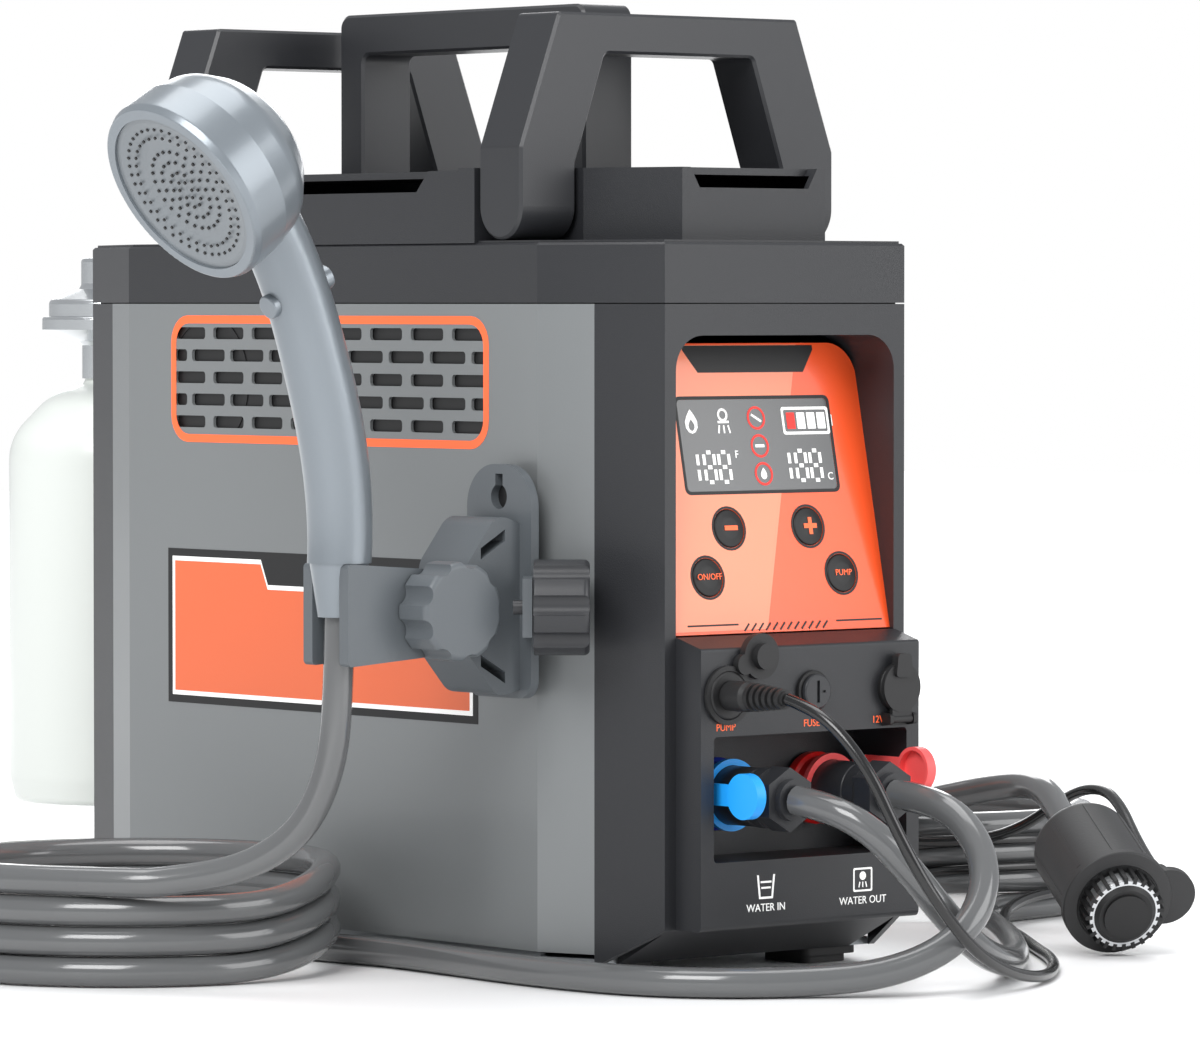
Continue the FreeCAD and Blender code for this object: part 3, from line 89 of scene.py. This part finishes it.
SIDE = shade("side_metal", "7f8283", 0.42, 0.25, 0.2, 0.05, 1500)
BLACK = shade("black_plastic", "26272a", 0.42, grain=0.25, grain_scale=1800)
SOFT_BLACK = shade("handle_black", "2a2b2e", 0.38, grain=0.12, grain_scale=1800)
DEEP = shade("deep_black", "141415", 0.5)
RUBBER = shade("black_rubber", "1d1d1e", 0.55, grain=0.1)
ORANGE = shade("panel_orange", "ff5a26", 0.3, coat=0.4)
PALE_ORANGE = shade("panel_glare", "ff8d68", 0.3, coat=0.4)
# FRAME_ORANGE, WHITE and RED give off painted light, so these prints stay bright in shadow
FRAME_ORANGE = glow("line_orange_glow", "ff6b38", 0.15)
LABEL_ORANGE = shade("label_orange", "ec6a38", 0.4, coat=0.2)
DISPLAY = shade("display_dark", "505152", 0.2, coat=0.6)
WHITE = glow("print_white_glow", "f4f4f2", 0.25)
RED = glow("print_red_glow", "f0281e", 0.25)
BLUE = shade("blue_plastic", "1a2f9a", 0.3, coat=0.3)
BLUE_CAP = shade("blue_cap", "22a5ff", 0.4)
RED_PART = shade("red_plastic", "f01c1c", 0.3, coat=0.3)
RED_CAP = shade("red_cap", "ff5f5f", 0.4)
HOSE = shade("hose_grey", "5f6061", 0.16, coat=0.5)
CABLE = shade("cable_black", "0d0d0e", 0.25, coat=0.4)
SILVER = shade("shower_silver", "7f868c", 0.3, 0.45, 0.3)
PALE_SILVER = shade("pale_silver", "a9b3ba", 0.3, 0.2, 0.3)
FACE = shade("shower_face", "7b8084", 0.35, 0.2)
HOLDER = shade("holder_grey", "5a5f63", 0.42, grain=0.1)
BOTTLE = shade("bottle_paint", "dfe3de", 0.35, coat=0.3)
STEEL = shade("bright_metal", "c9ccce", 0.25, 0.95, grain=0.04)
BRASS = shade("brass", "b58a45", 0.3, 0.9)
COPPER = shade("copper_fins", "b0673a", 0.35, 0.9)
SHEET = shade("steel_sheet", "a9adb0", 0.4, 0.9)
BOARD = shade("board_green", "1f5a38", 0.5)
PUMP = shade("pump_black", "2a2a2b", 0.5, grain=0.15)
MESH = shade("strainer_mesh", "d8dadc", 0.3, 0.9, grain=0.8, grain_scale=700)

LOOKS = {
    "base_tray": SHEET, "rubber_feet": RUBBER, "side_panel_left": SIDE, "side_panel_right": SIDE,
    "front_cover": BLACK, "rear_cover": BLACK, "lid": BLACK, "handle_carrier": BLACK,
    "front_handle": SOFT_BLACK, "rear_handle": SOFT_BLACK, "top_handle": SOFT_BLACK, "handle_pins": STEEL,
    "panel_plate": ORANGE, "display_window": DISPLAY, "button_minus": DEEP, "button_plus": DEEP,
    "button_power": DEEP, "button_pump": DEEP, "control_board": BOARD, "panel_sockets": DEEP,
    "fuse_holder": DEEP, "fuse_cap": SOFT_BLACK, "dc_cap": RUBBER, "pump_socket_cap": RUBBER,
    "water_fittings": SOFT_BLACK, "water_in_collar": BLUE, "water_in_cap": BLUE_CAP,
    "water_out_collar": RED_PART, "water_out_cap": RED_CAP, "hose_nuts": SOFT_BLACK,
    "combustion_chamber": SHEET, "burner": SHEET, "heat_exchanger": COPPER, "gas_valve": BRASS,
    "exhaust_fan": DEEP, "battery_pack": BLUE, "gas_bottle": BOTTLE, "regulator": STEEL,
    "gas_inlet_pipe": STEEL, "holder_pad": DEEP, "holder_bracket": HOLDER, "holder_arm": HOLDER,
    "clamp_knob": HOLDER, "lock_knob": SOFT_BLACK, "shower_body": SILVER, "mode_button": PALE_SILVER,
    "shower_face": FACE, "stop_button": SILVER, "pump_body": PUMP, "pump_strainer": DEEP, "pump_plug": RUBBER,
}
for label, look in LOOKS.items():
    NODES[label].data.materials.clear()
    NODES[label].data.materials.append(look)


# Thin prints: flat shapes a fraction of a millimetre proud of the surface they are on

def lay(obj, origin, right, up, body):
    """Stand a flat object, drawn in millimetres, on the plane through origin."""
    right, up = Vector(right).normalized(), Vector(up).normalized()
    out = right.cross(up)
    turn = Matrix((right, up, out)).transposed().to_4x4()
    obj.matrix_world = Matrix.Translation(Vector(origin) / 1000) @ turn @ Matrix.Scale(0.001, 4)
    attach(obj, body)
    return obj


def flat_shape(name, loops, look, thick=0.1):
    """A filled flat shape from closed loops of (x, y); a loop inside another is a hole."""
    data = bpy.data.curves.new(name, "CURVE")
    data.dimensions = "2D"
    data.fill_mode = "BOTH"
    data.extrude = thick
    for loop in loops:
        spline = data.splines.new("POLY")
        spline.points.add(len(loop) - 1)
        for point, (x, y) in zip(spline.points, loop):
            point.co = (x, y, 0, 1)
        spline.use_cyclic_u = True
    data.materials.append(look)
    obj = bpy.data.objects.new(name, data)
    bpy.context.scene.collection.objects.link(obj)
    return obj


def writing(name, text, height, look):
    """A flat word, centred, with capitals of that height."""
    data = bpy.data.curves.new(name, "FONT")
    data.body = text
    data.size = height / 0.7
    data.align_x = "CENTER"
    data.align_y = "CENTER"
    data.extrude = 0.1
    data.resolution_u = 3
    data.materials.append(look)
    obj = bpy.data.objects.new(name, data)
    bpy.context.scene.collection.objects.link(obj)
    return obj


def rounded(x0, x1, y0, y1, r, steps=6):
    """A rectangle with rounded corners."""
    points = []
    for cx, cy, start in ((x1 - r, y1 - r, 0), (x0 + r, y1 - r, 90), (x0 + r, y0 + r, 180), (x1 - r, y0 + r, 270)):
        for step in range(steps + 1):
            angle = math.radians(start + 90 * step / steps)
            points.append((cx + r * math.cos(angle), cy + r * math.sin(angle)))
    return points


def disc(x, y, r, steps=28):
    return [(x + r * math.cos(2 * math.pi * k / steps), y + r * math.sin(2 * math.pi * k / steps))
            for k in range(steps)]


def bar(x0, y0, x1, y1, width):
    """A straight stroke of that width between two points."""
    along = Vector((x1 - x0, y1 - y0)).normalized() * (width / 2)
    side = Vector((-along.y, along.x))
    start, end = Vector((x0, y0)), Vector((x1, y1))
    return [tuple(start + side), tuple(end + side), tuple(end - side), tuple(start - side)]


# Prints on the side panels. Flat x runs to the front of the heater on both sides, and flat y is its height.
SIDE_FACE = 88.25
PRINT_STEP = 0.12
FRAME_WIDE, FRAME_LOW, FRAME_HIGH, FRAME_STROKE = 111, 220.5, 276.4, 3.5
LABEL_REAR, LABEL_FRONT, LABEL_LOW, LABEL_HIGH = -113.5, 103.9, 104.9, 173.2
LABEL_DROP = 10.9
NOTCH_HEAD, NOTCH_FOOT = -45.9, -40.9


def label_shape(inset, flip):
    """The label's field: its top edge steps down behind a slanted notch."""
    top = LABEL_HIGH - inset
    shape = [(LABEL_REAR + inset, LABEL_LOW + inset), (LABEL_FRONT - inset, LABEL_LOW + inset),
             (LABEL_FRONT - inset, top - LABEL_DROP), (NOTCH_FOOT, top - LABEL_DROP), (NOTCH_HEAD, top),
             (LABEL_REAR + inset, top)]
    return [(flip * x, y) for x, y in shape]


def side_prints(tag, side, right, flip):
    """The frame round the vent, and the bare label: border, line and field stacked outwards."""

    def on_side(obj, layer):
        return lay(obj, (side * (SIDE_FACE + layer * PRINT_STEP), 0, 0), right, (0, 0, 1), "housing")

    inner = FRAME_WIDE - FRAME_STROKE
    frame_loops = [rounded(-FRAME_WIDE, FRAME_WIDE, FRAME_LOW, FRAME_HIGH, 12),
                   rounded(-inner, inner, FRAME_LOW + FRAME_STROKE, FRAME_HIGH - FRAME_STROKE, 9)]
    on_side(flat_shape(f"{tag}_vent_frame", frame_loops, FRAME_ORANGE), 0)
    border = [(LABEL_REAR, LABEL_LOW), (LABEL_FRONT, LABEL_LOW), (LABEL_FRONT, LABEL_HIGH), (LABEL_REAR, LABEL_HIGH)]
    border = [(flip * x, y) for x, y in border]
    on_side(flat_shape(f"{tag}_label_border", [border], DEEP), 0)
    on_side(flat_shape(f"{tag}_label_line", [label_shape(3.4, flip)], WHITE), 1)
    on_side(flat_shape(f"{tag}_label_field", [label_shape(5.4, flip)], LABEL_ORANGE), 2)


side_prints("left", -1, (0, -1, 0), 1)
side_prints("right", 1, (0, 1, 0), -1)
# Dark sheet just behind the vent slots: painted shade for the shaded inside of the heater seen through them
SHADE_SHEET_FACE = 86.2
for tag, side in (("left", -1), ("right", 1)):
    shade_sheet = flat_shape(f"{tag}_vent_shade", [rounded(-112, 112, 224, 274, 4)], DEEP)
    lay(shade_sheet, (side * SHADE_SHEET_FACE, 0, 0), (0, side, 0), (0, 0, 1), "housing")

# Dark seal under the lid, behind the seam above the side panels
BODY_HALF_WIDTH, BODY_HALF_DEPTH = 88.2, 199.2
SIDE_FLAT, END_FLAT = 142.7, 67.0


def octagon(inset):
    """The body's plan, moved inwards."""
    wide, deep, end = BODY_HALF_WIDTH - inset, BODY_HALF_DEPTH - inset, END_FLAT - inset * 0.5
    return [(wide, -SIDE_FLAT), (wide, SIDE_FLAT), (end, deep), (-end, deep), (-wide, SIDE_FLAT), (-wide, -SIDE_FLAT),
            (-end, -deep), (end, -deep)]


lay(flat_shape("lid_seal", [octagon(3.6), octagon(6.5)], DEEP, 2.2), (0, 0, 281.8), (1, 0, 0), (0, 1, 0), "housing")

# Control panel prints, drawn on the sloping plane
TILT = math.radians(11.5)
PANEL_FOOT = Vector((0, -197, 144))
RAISED = 0.14
DOME_TOP = 1.62
WORD_TOP = 1.58
PANEL_UP = Vector((0, math.sin(TILT), math.cos(TILT)))
PANEL_OUT = Vector((0, -math.cos(TILT), math.sin(TILT)))


def on_panel(obj, x=0.0, y=0.0, proud=0.08):
    """Lay a print on the panel, at x across and y up from its foot."""
    origin = PANEL_FOOT + PANEL_UP * y + Vector((x, 0, 0)) + PANEL_OUT * proud
    return lay(obj, origin, (1, 0, 0), PANEL_UP, "housing")


BUTTONS = {"minus": (-22.2, 44.9), "plus": (22.2, 44.9), "power": (-37.5, 24.5), "pump": (37.5, 24.5)}
glare = [(-60, 2), (-8, 2), (10, 60), (-42.5, 60), (-42.5, 100), (22, 100), (29, 122.8), (-46.5, 122.8), (-56, 118),
         (-60, 109)]
holes = [disc(*BUTTONS["minus"], 8.6), disc(*BUTTONS["power"], 8.6)]
on_panel(flat_shape("panel_glare", [glare] + holes, PALE_ORANGE, 0.03))
strip = [(-28, 111), (31, 111), (38, 120.5), (38, 122.5), (-35, 122.5), (-35, 120.5)]
on_panel(flat_shape("panel_top_strip", [strip], DEEP, 0.05), proud=RAISED)
on_panel(flat_shape("display_rim", [rounded(-43.4, 43.4, 59.3, 101, 3), rounded(-42, 42, 60.7, 99.6, 2)], DEEP, 0.05),
         proud=RAISED)
on_panel(flat_shape("panel_foot_line", [bar(-52, 4.4, -24, 4.4, 0.7), bar(31, 4.4, 57, 4.4, 0.7)]
                    + [bar(x, 1.6, x + 3, 4.6, 0.8) for x in range(-21, 27, 4)], DEEP, 0.05), proud=RAISED)


def on_button(obj, label, proud):
    """Lay a mark on a button's dome. It rides the button."""
    x, y = BUTTONS[label]
    origin = PANEL_FOOT + PANEL_UP * y + Vector((x, 0, 0)) + PANEL_OUT * proud
    lay(obj, origin, (1, 0, 0), PANEL_UP, f"button_{label}")


minus_mark = [bar(-3.6, 0, 3.6, 0, 2.0)]
plus_mark = minus_mark + [bar(0, -3.6, 0, -1.01, 2.0), bar(0, 1.01, 0, 3.6, 2.0)]
for label, marks in (("minus", minus_mark), ("plus", plus_mark)):
    on_button(flat_shape(f"mark_{label}", marks, FRAME_ORANGE, 0.04), label, DOME_TOP)
for label, text in (("power", "ON/OFF"), ("pump", "PUMP")):
    on_button(writing(f"mark_{label}", text, 2.6, FRAME_ORANGE), label, WORD_TOP)
for label, (x, y) in BUTTONS.items():
    on_panel(flat_shape(f"ring_{label}", [disc(x, y, 9.4), disc(x, y, 8.4)], DEEP, 0.05), proud=RAISED)

SEGMENTS = {"1": "bc", "8": "abcdefg"}


def digit(character, x, y, wide, tall):
    """Seven-segment strokes of one digit."""
    t = tall * 0.13
    half = tall / 2
    places = {
        "a": (x + t, y + tall, x + wide - t, y + tall), "g": (x + t, y + half, x + wide - t, y + half),
        "d": (x + t, y, x + wide - t, y), "b": (x + wide, y + half + t * 0.6, x + wide, y + tall - t * 0.5),
        "c": (x + wide, y + t * 0.5, x + wide, y + half - t * 0.6),
        "f": (x, y + half + t * 0.6, x, y + tall - t * 0.5), "e": (x, y + t * 0.5, x, y + half - t * 0.6),
    }
    return [bar(*places[key], t) for key in SEGMENTS[character]]


loops = []
for start in (-39.0, 12.2):
    for index, character in enumerate("188"):
        loops += digit(character, start + index * 8.2 + (0 if index else -1), 64.6, 5.6, 12.6)
on_panel(flat_shape("display_digits", loops, WHITE, 0.04), proud=0.1)
for label, text, x, y in (("f", "F", -12.4, 76), ("c", "C", 38.8, 66)):
    on_panel(writing(f"display_unit_{label}", text, 3.2, WHITE), x, y, 0.1)


def drop_shape(x, y, size):
    """A flame or water drop outline."""
    shape = [(0, 1.0), (0.35, 0.55), (0.62, 0.05), (0.6, -0.45), (0.35, -0.8), (0, -0.92), (-0.35, -0.8),
             (-0.6, -0.45), (-0.62, 0.05), (-0.35, 0.55)]
    return [(x + px * size, y + py * size) for px, py in shape]


icons = [drop_shape(-35.3, 90.2, 5.4), drop_shape(-35.3, 88.8, 2.6)]
icons += [disc(-17.5, 93, 2.8), disc(-17.5, 93, 1.8), bar(-20.6, 90, -14.4, 90, 1.0)]
icons += [bar(-17.5 + dx * 2.4, 88.6, -17.5 + dx * 3.2, 85.2, 0.8) for dx in (-1, 0, 1)]
on_panel(flat_shape("display_icons", icons, WHITE, 0.04), proud=0.1)
rings = []
for x, y in ((1.1, 91.5), (1.2, 79.6), (1.4, 67.7)):
    rings += [disc(x, y, 5.0), disc(x, y, 4.0)]
on_panel(flat_shape("display_rings", rings, RED, 0.04), proud=0.1)
inner_marks = [bar(-1.5, 93, 3.7, 90, 1.0), bar(-1.3, 79.6, 3.7, 79.6, 1.2), drop_shape(1.4, 67.7, 2.6)]
on_panel(flat_shape("display_ring_marks", inner_marks, WHITE, 0.04), proud=0.1)
battery = [rounded(15.5, 42, 84.2, 96, 1.2), rounded(16.7, 40.8, 85.4, 94.8, 0.8),
           rounded(42.3, 43.9, 87.6, 92.6, 0.4)]
battery += [rounded(x, x + 4.6, 86.6, 93.6, 0.3) for x in (23.9, 29.6, 35.3)]
on_panel(flat_shape("battery_sign", battery, WHITE, 0.04), proud=0.1)
on_panel(flat_shape("battery_cell", [rounded(18.2, 22.8, 86.6, 93.6, 0.3)], RED, 0.04), proud=0.1)


# Lettering on the lower box

def on_box(obj, x=0.0, z=0.0):
    return lay(obj, (x, -215.06, z), (1, 0, 0), (0, 0, 1), "housing")


for label, text, x in (("pump", "PUMP", -47.5), ("fuse", "FUSE", 0), ("dc", "12V DC IN", 44)):
    on_box(writing(f"word_{label}", text, 3.0, FRAME_ORANGE), x, 107.2)
on_box(writing("word_water_in", "WATER IN", 3.2, WHITE), -25.3, 31.7)
on_box(writing("word_water_out", "WATER OUT", 3.2, WHITE), 29, 31.7)
bucket = [(-5, 5), (-3.8, -5), (3.8, -5), (5, 5), (4, 5), (3, -4.1), (-3, -4.1), (-4, 5)]
swirl = [bar(-3, 2, 3, 2, 0.8), bar(-2.6, -0.4, 2.6, -0.4, 0.8)]
on_box(flat_shape("sign_bucket", [bucket] + swirl, WHITE, 0.04), -25.3, 40.4)
sign = [rounded(-5.4, 5.4, -5, 5, 0.8), rounded(-4.6, 4.6, -4.2, 4.2, 0.5), disc(0, 1.6, 1.8)]
sign += [bar(dx * 1.6, -0.9, dx * 2.2, -3.2, 0.6) for dx in (-1, 0, 1)]
on_box(flat_shape("sign_shower", sign, WHITE, 0.04), 29, 40.4)


# Shower face: dark nozzle dots, and the rings round them

def head_plane():
    out = -Vector((0.838, 0, 0.5457)).normalized()
    right = Vector((0, -1, 0))
    return out, right, out.cross(right)


OUT, RIGHT, UP = head_plane()


def dot_rings(rings, size):
    """Small discs spaced evenly on each ring of (radius, count)."""
    return [disc(radius * math.cos(2 * math.pi * k / count), radius * math.sin(2 * math.pi * k / count), size, 8)
            for radius, count in rings for k in range(count)]


FACE_CENTRE = Vector((-263.8, -131, 325.1)) - OUT * 3.2
INNER_RINGS = ((4, 6), (8, 12), (13, 18), (18, 26))
OUTER_RINGS = ((25.5, 36), (29.5, 42))
lay(flat_shape("spray_nozzles", dot_rings(INNER_RINGS, 0.75), DEEP, 0.3), FACE_CENTRE, RIGHT, UP, "shower_arm")
lay(flat_shape("spray_nozzles_outer", dot_rings(OUTER_RINGS, 0.7), DEEP, 0.3), FACE_CENTRE + OUT * 1.5, RIGHT, UP,
    "shower_arm")


# Strainer mesh inside the pump's cage
AXIS = Vector((-0.41, -0.83, -0.375)).normalized()
bpy.ops.mesh.primitive_cylinder_add(vertices=48, radius=0.0158, depth=0.0085)
mesh = bpy.context.object
mesh.name = "strainer_mesh"
mesh.data.materials.append(MESH)
mesh.rotation_mode = "QUATERNION"
mesh.rotation_quaternion = AXIS.to_track_quat("Z", "Y")
mesh.location = (Vector((172, -222, 22.8)) + AXIS * 6.6) / 1000
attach(mesh, "housing")


# Hoses and cables

def spline_of(name, points, diameter, look):
    """One NURBS tube through the control points, in millimetres."""
    data = bpy.data.curves.new(name, "CURVE")
    data.dimensions = "3D"
    data.bevel_depth = diameter / 2000
    data.bevel_resolution = 5
    data.resolution_u = 6
    data.use_fill_caps = True
    spline = data.splines.new("NURBS")
    spline.points.add(len(points) - 1)
    for point, place in zip(spline.points, points):
        point.co = (place[0] / 1000, place[1] / 1000, place[2] / 1000, 1)
    spline.order_u = 3
    spline.use_endpoint_u = True
    data.materials.append(look)
    obj = bpy.data.objects.new(name, data)
    bpy.context.scene.collection.objects.link(obj)
    return obj


def centreline(obj):
    """The points in metres that a tube's own line runs through."""
    data = obj.data.copy()
    data.bevel_depth = 0
    spare = bpy.data.objects.new("spare", data)
    bpy.context.scene.collection.objects.link(spare)
    line = spare.to_mesh()
    points = [vertex.co.copy() for vertex in line.vertices]
    spare.to_mesh_clear()
    bpy.data.objects.remove(spare)
    return points


STEP_FROM, STEP_SWEEP = 262, 62


def wound(centre, across, deep, turned, start, sweep, first, pitch):
    """Points of a stacked coil: flat turns that step up by one pitch before each turn ends."""
    points = []
    steps = int(sweep / 20)
    turn = math.radians(turned)
    for step in range(steps + 1):
        progress = sweep * step / steps
        angle = math.radians(start + progress)
        part = min(max((progress % 360 - STEP_FROM) / STEP_SWEEP, 0), 1)
        level = progress // 360 + part * part * (3 - 2 * part)
        x, y = across * math.cos(angle), deep * math.sin(angle)
        points.append((centre[0] + x * math.cos(turn) - y * math.sin(turn),
                       centre[1] + x * math.sin(turn) + y * math.cos(turn), first + pitch * level))
    return points


# Diameters in millimetres
HOSE_SIZE = 12.5
CABLE_SIZE = 5.0

SHOWER_RUN = [(28, -236.7, 77.5), (28, -256, 76.5), (29.5, -276, 69), (27, -292, 53), (16, -301, 35),
              (-2, -300, 19), (-24, -286, 9), (-50, -266, 6.3), (-76, -250, 6.3), (-96, -224, 6.3),
              (-104, -188, 6.3), (-105, -146, 6.3), (-102, -104, 6.3), (-99.6, -60, 6.3)]
RISER = [(-183.5, -131, 153.6), (-184.2, -131.3, 122), (-186, -129, 92), (-193, -119, 66), (-208, -100, 50),
         (-229, -71, 44)]
PUMP_RUN = [(-28, -237.1, 77.5), (-26, -256, 75.5), (-17, -272, 66), (-5, -281, 50), (8, -287, 32),
            (30, -285, 15), (62, -269, 7), (96, -238, 6.3), (126, -204, 6.3), (154, -170, 6.3),
            (180, -136, 6.3), (202, -104, 6.3), (224, -82, 6.3), (244, -75.5, 6.3)]
PUMP_TAIL = [(199.9, -165.5, 48.3), (207.3, -150.6, 55), (216, -133, 64), (223, -112, 66), (222, -90, 63),
             (211, -70, 58), (201, -45, 52), (191.9, -21, 48.4)]
CABLE_RUN = [(-47.3, -253, 120.5), (-46, -268, 117), (-42, -282, 106), (-37, -293, 90), (-32, -301, 70),
             (-25, -309, 50), (-13, -313, 32), (6, -310, 17), (32, -302, 7), (62, -290, 2.6), (96, -262, 2.6),
             (126, -228, 2.6), (150, -194, 2.6), (180, -154, 2.6), (204, -119, 2.6), (222, -98, 7),
             (246, -86, 11)]
CABLE_TAIL = [(202.8, -215.4, 33.2), (210.2, -200.5, 39.9), (219, -184, 48.5), (228, -168, 58), (236, -150, 65),
              (240, -130, 64), (240, -112, 55), (235, -97, 45), (225, -85, 39.5), (212, -68.5, 38),
              (200, -52.5, 38)]

coil = wound((-190, 4), 84, 75, -40.3, 45, 3 * 360 + 215, 6.3, HOSE_SIZE)
shower_hose = spline_of("shower_hose", SHOWER_RUN + [(-105, -30, 6.3)] + coil, HOSE_SIZE, HOSE)
shower_line = centreline(shower_hose)
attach(shower_hose, "housing")
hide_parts("shower_hose_run", "shower_hose_coil")

end, before = Vector(coil[-1]), Vector(coil[-2])
riser_curve = spline_of("riser_curve", [coil[-1], tuple(end + (end - before) * 0.7)] + RISER[::-1],
                         HOSE_SIZE, HOSE)
riser_line = centreline(riser_curve)
tube = bpy.data.meshes.new_from_object(riser_curve.evaluated_get(bpy.context.evaluated_depsgraph_get()))
riser = bpy.data.objects.new("shower_hose_riser_look", tube)
bpy.context.scene.collection.objects.link(riser)
bpy.data.objects.remove(riser_curve)
for face in riser.data.polygons:
    face.use_smooth = True
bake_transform(riser)
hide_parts("shower_hose_riser")

reel = wound((266, 6), 78.9, 78.9, 0, -90, 3 * 360 + 280, 6.3, HOSE_SIZE)
pump_hose = spline_of("pump_hose", PUMP_RUN + reel + PUMP_TAIL[-2::-1], HOSE_SIZE, HOSE)
pump_line = centreline(pump_hose)
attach(pump_hose, "housing")
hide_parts("pump_hose_run", "pump_hose_coil", "pump_hose_tail")

# The cable lies in the valleys between the hose's turns, so it steps up by the same pitch
turns = wound((266, 6), 85.3, 85.3, 0, -84, 2 * 360 + 252, 12.6, HOSE_SIZE)
cable = spline_of("pump_cable", CABLE_RUN + turns + [(178.5, -8, 38), (184, -32, 38)]
                  + CABLE_TAIL[::-1], CABLE_SIZE, CABLE)
cable_line = centreline(cable)
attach(cable, "housing")
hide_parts("pump_cable_run", "pump_cable_coil", "pump_cable_tail")


# Studio: white floor, white background, soft area lights, and the camera at the photo's angle
bpy.ops.mesh.primitive_plane_add(size=12, location=(0, 0, -0.0002))
floor = bpy.context.object
floor.name = "floor"
floor_look = shade("floor_white", "f4f4f4", 0.5)
floor.data.materials.append(floor_look)
# Far from the object the floor glows, so it meets the background without a grey band
tree = floor_look.node_tree
where = tree.nodes.new("ShaderNodeTexCoord")
far = tree.nodes.new("ShaderNodeVectorMath")
far.operation = "LENGTH"
spread = tree.nodes.new("ShaderNodeMapRange")
spread.inputs["From Min"].default_value = 0.7
spread.inputs["From Max"].default_value = 1.8
spread.inputs["To Max"].default_value = 0.7
tree.links.new(where.outputs["Object"], far.inputs[0])
tree.links.new(far.outputs["Value"], spread.inputs["Value"])
tree.nodes["Principled BSDF"].inputs["Emission Color"].default_value = (1, 1, 1, 1)
tree.links.new(spread.outputs["Result"], tree.nodes["Principled BSDF"].inputs["Emission Strength"])

world = bpy.data.worlds.new("studio")
world.use_nodes = True
bpy.context.scene.world = world
tree = world.node_tree
tree.nodes.clear()
path = tree.nodes.new("ShaderNodeLightPath")
seen = tree.nodes.new("ShaderNodeBackground")
seen.inputs["Color"].default_value = (1, 1, 1, 1)
seen.inputs["Strength"].default_value = 1.0
lit = tree.nodes.new("ShaderNodeBackground")
lit.inputs["Color"].default_value = (0.95, 0.97, 1, 1)
lit.inputs["Strength"].default_value = 0.55
mix = tree.nodes.new("ShaderNodeMixShader")
out = tree.nodes.new("ShaderNodeOutputWorld")
tree.links.new(path.outputs["Is Camera Ray"], mix.inputs["Fac"])
tree.links.new(lit.outputs[0], mix.inputs[1])
tree.links.new(seen.outputs[0], mix.inputs[2])
tree.links.new(mix.outputs[0], out.inputs["Surface"])


def lamp(name, place, target, size, power):
    data = bpy.data.lights.new(name, "AREA")
    data.shape = "SQUARE"
    data.size = size
    data.energy = power
    obj = bpy.data.objects.new(name, data)
    obj.location = place
    obj.rotation_mode = "QUATERNION"
    obj.rotation_quaternion = (Vector(target) - Vector(place)).to_track_quat("-Z", "Y")
    bpy.context.scene.collection.objects.link(obj)


lamp("key", (-1.6, -0.9, 1.5), (0, 0, 0.2), 1.1, 34)
lamp("fill", (0.9, -2.0, 0.9), (0, 0, 0.2), 1.4, 20)
lamp("top", (0.1, 0.2, 2.2), (0, 0, 0.2), 1.6, 26)
lamp("rear", (1.4, 1.6, 1.0), (0, 0, 0.2), 1.2, 16)

camera_data = bpy.data.cameras.new("photo_camera")
camera_data.sensor_width = 36
camera_data.lens = 202.56
camera_data.clip_end = 50
camera = bpy.data.objects.new("photo_camera", camera_data)
camera.location = (-1.8814, -2.2975, 0.282)
pitch = math.radians(1.86)
forward = Vector((0.6468 * math.cos(pitch), 0.7627 * math.cos(pitch), -math.sin(pitch)))
camera.rotation_mode = "QUATERNION"
camera.rotation_quaternion = forward.to_track_quat("-Z", "Y")
bpy.context.scene.collection.objects.link(camera)
bpy.context.scene.camera = camera
bpy.context.scene.view_settings.view_transform = "Standard"
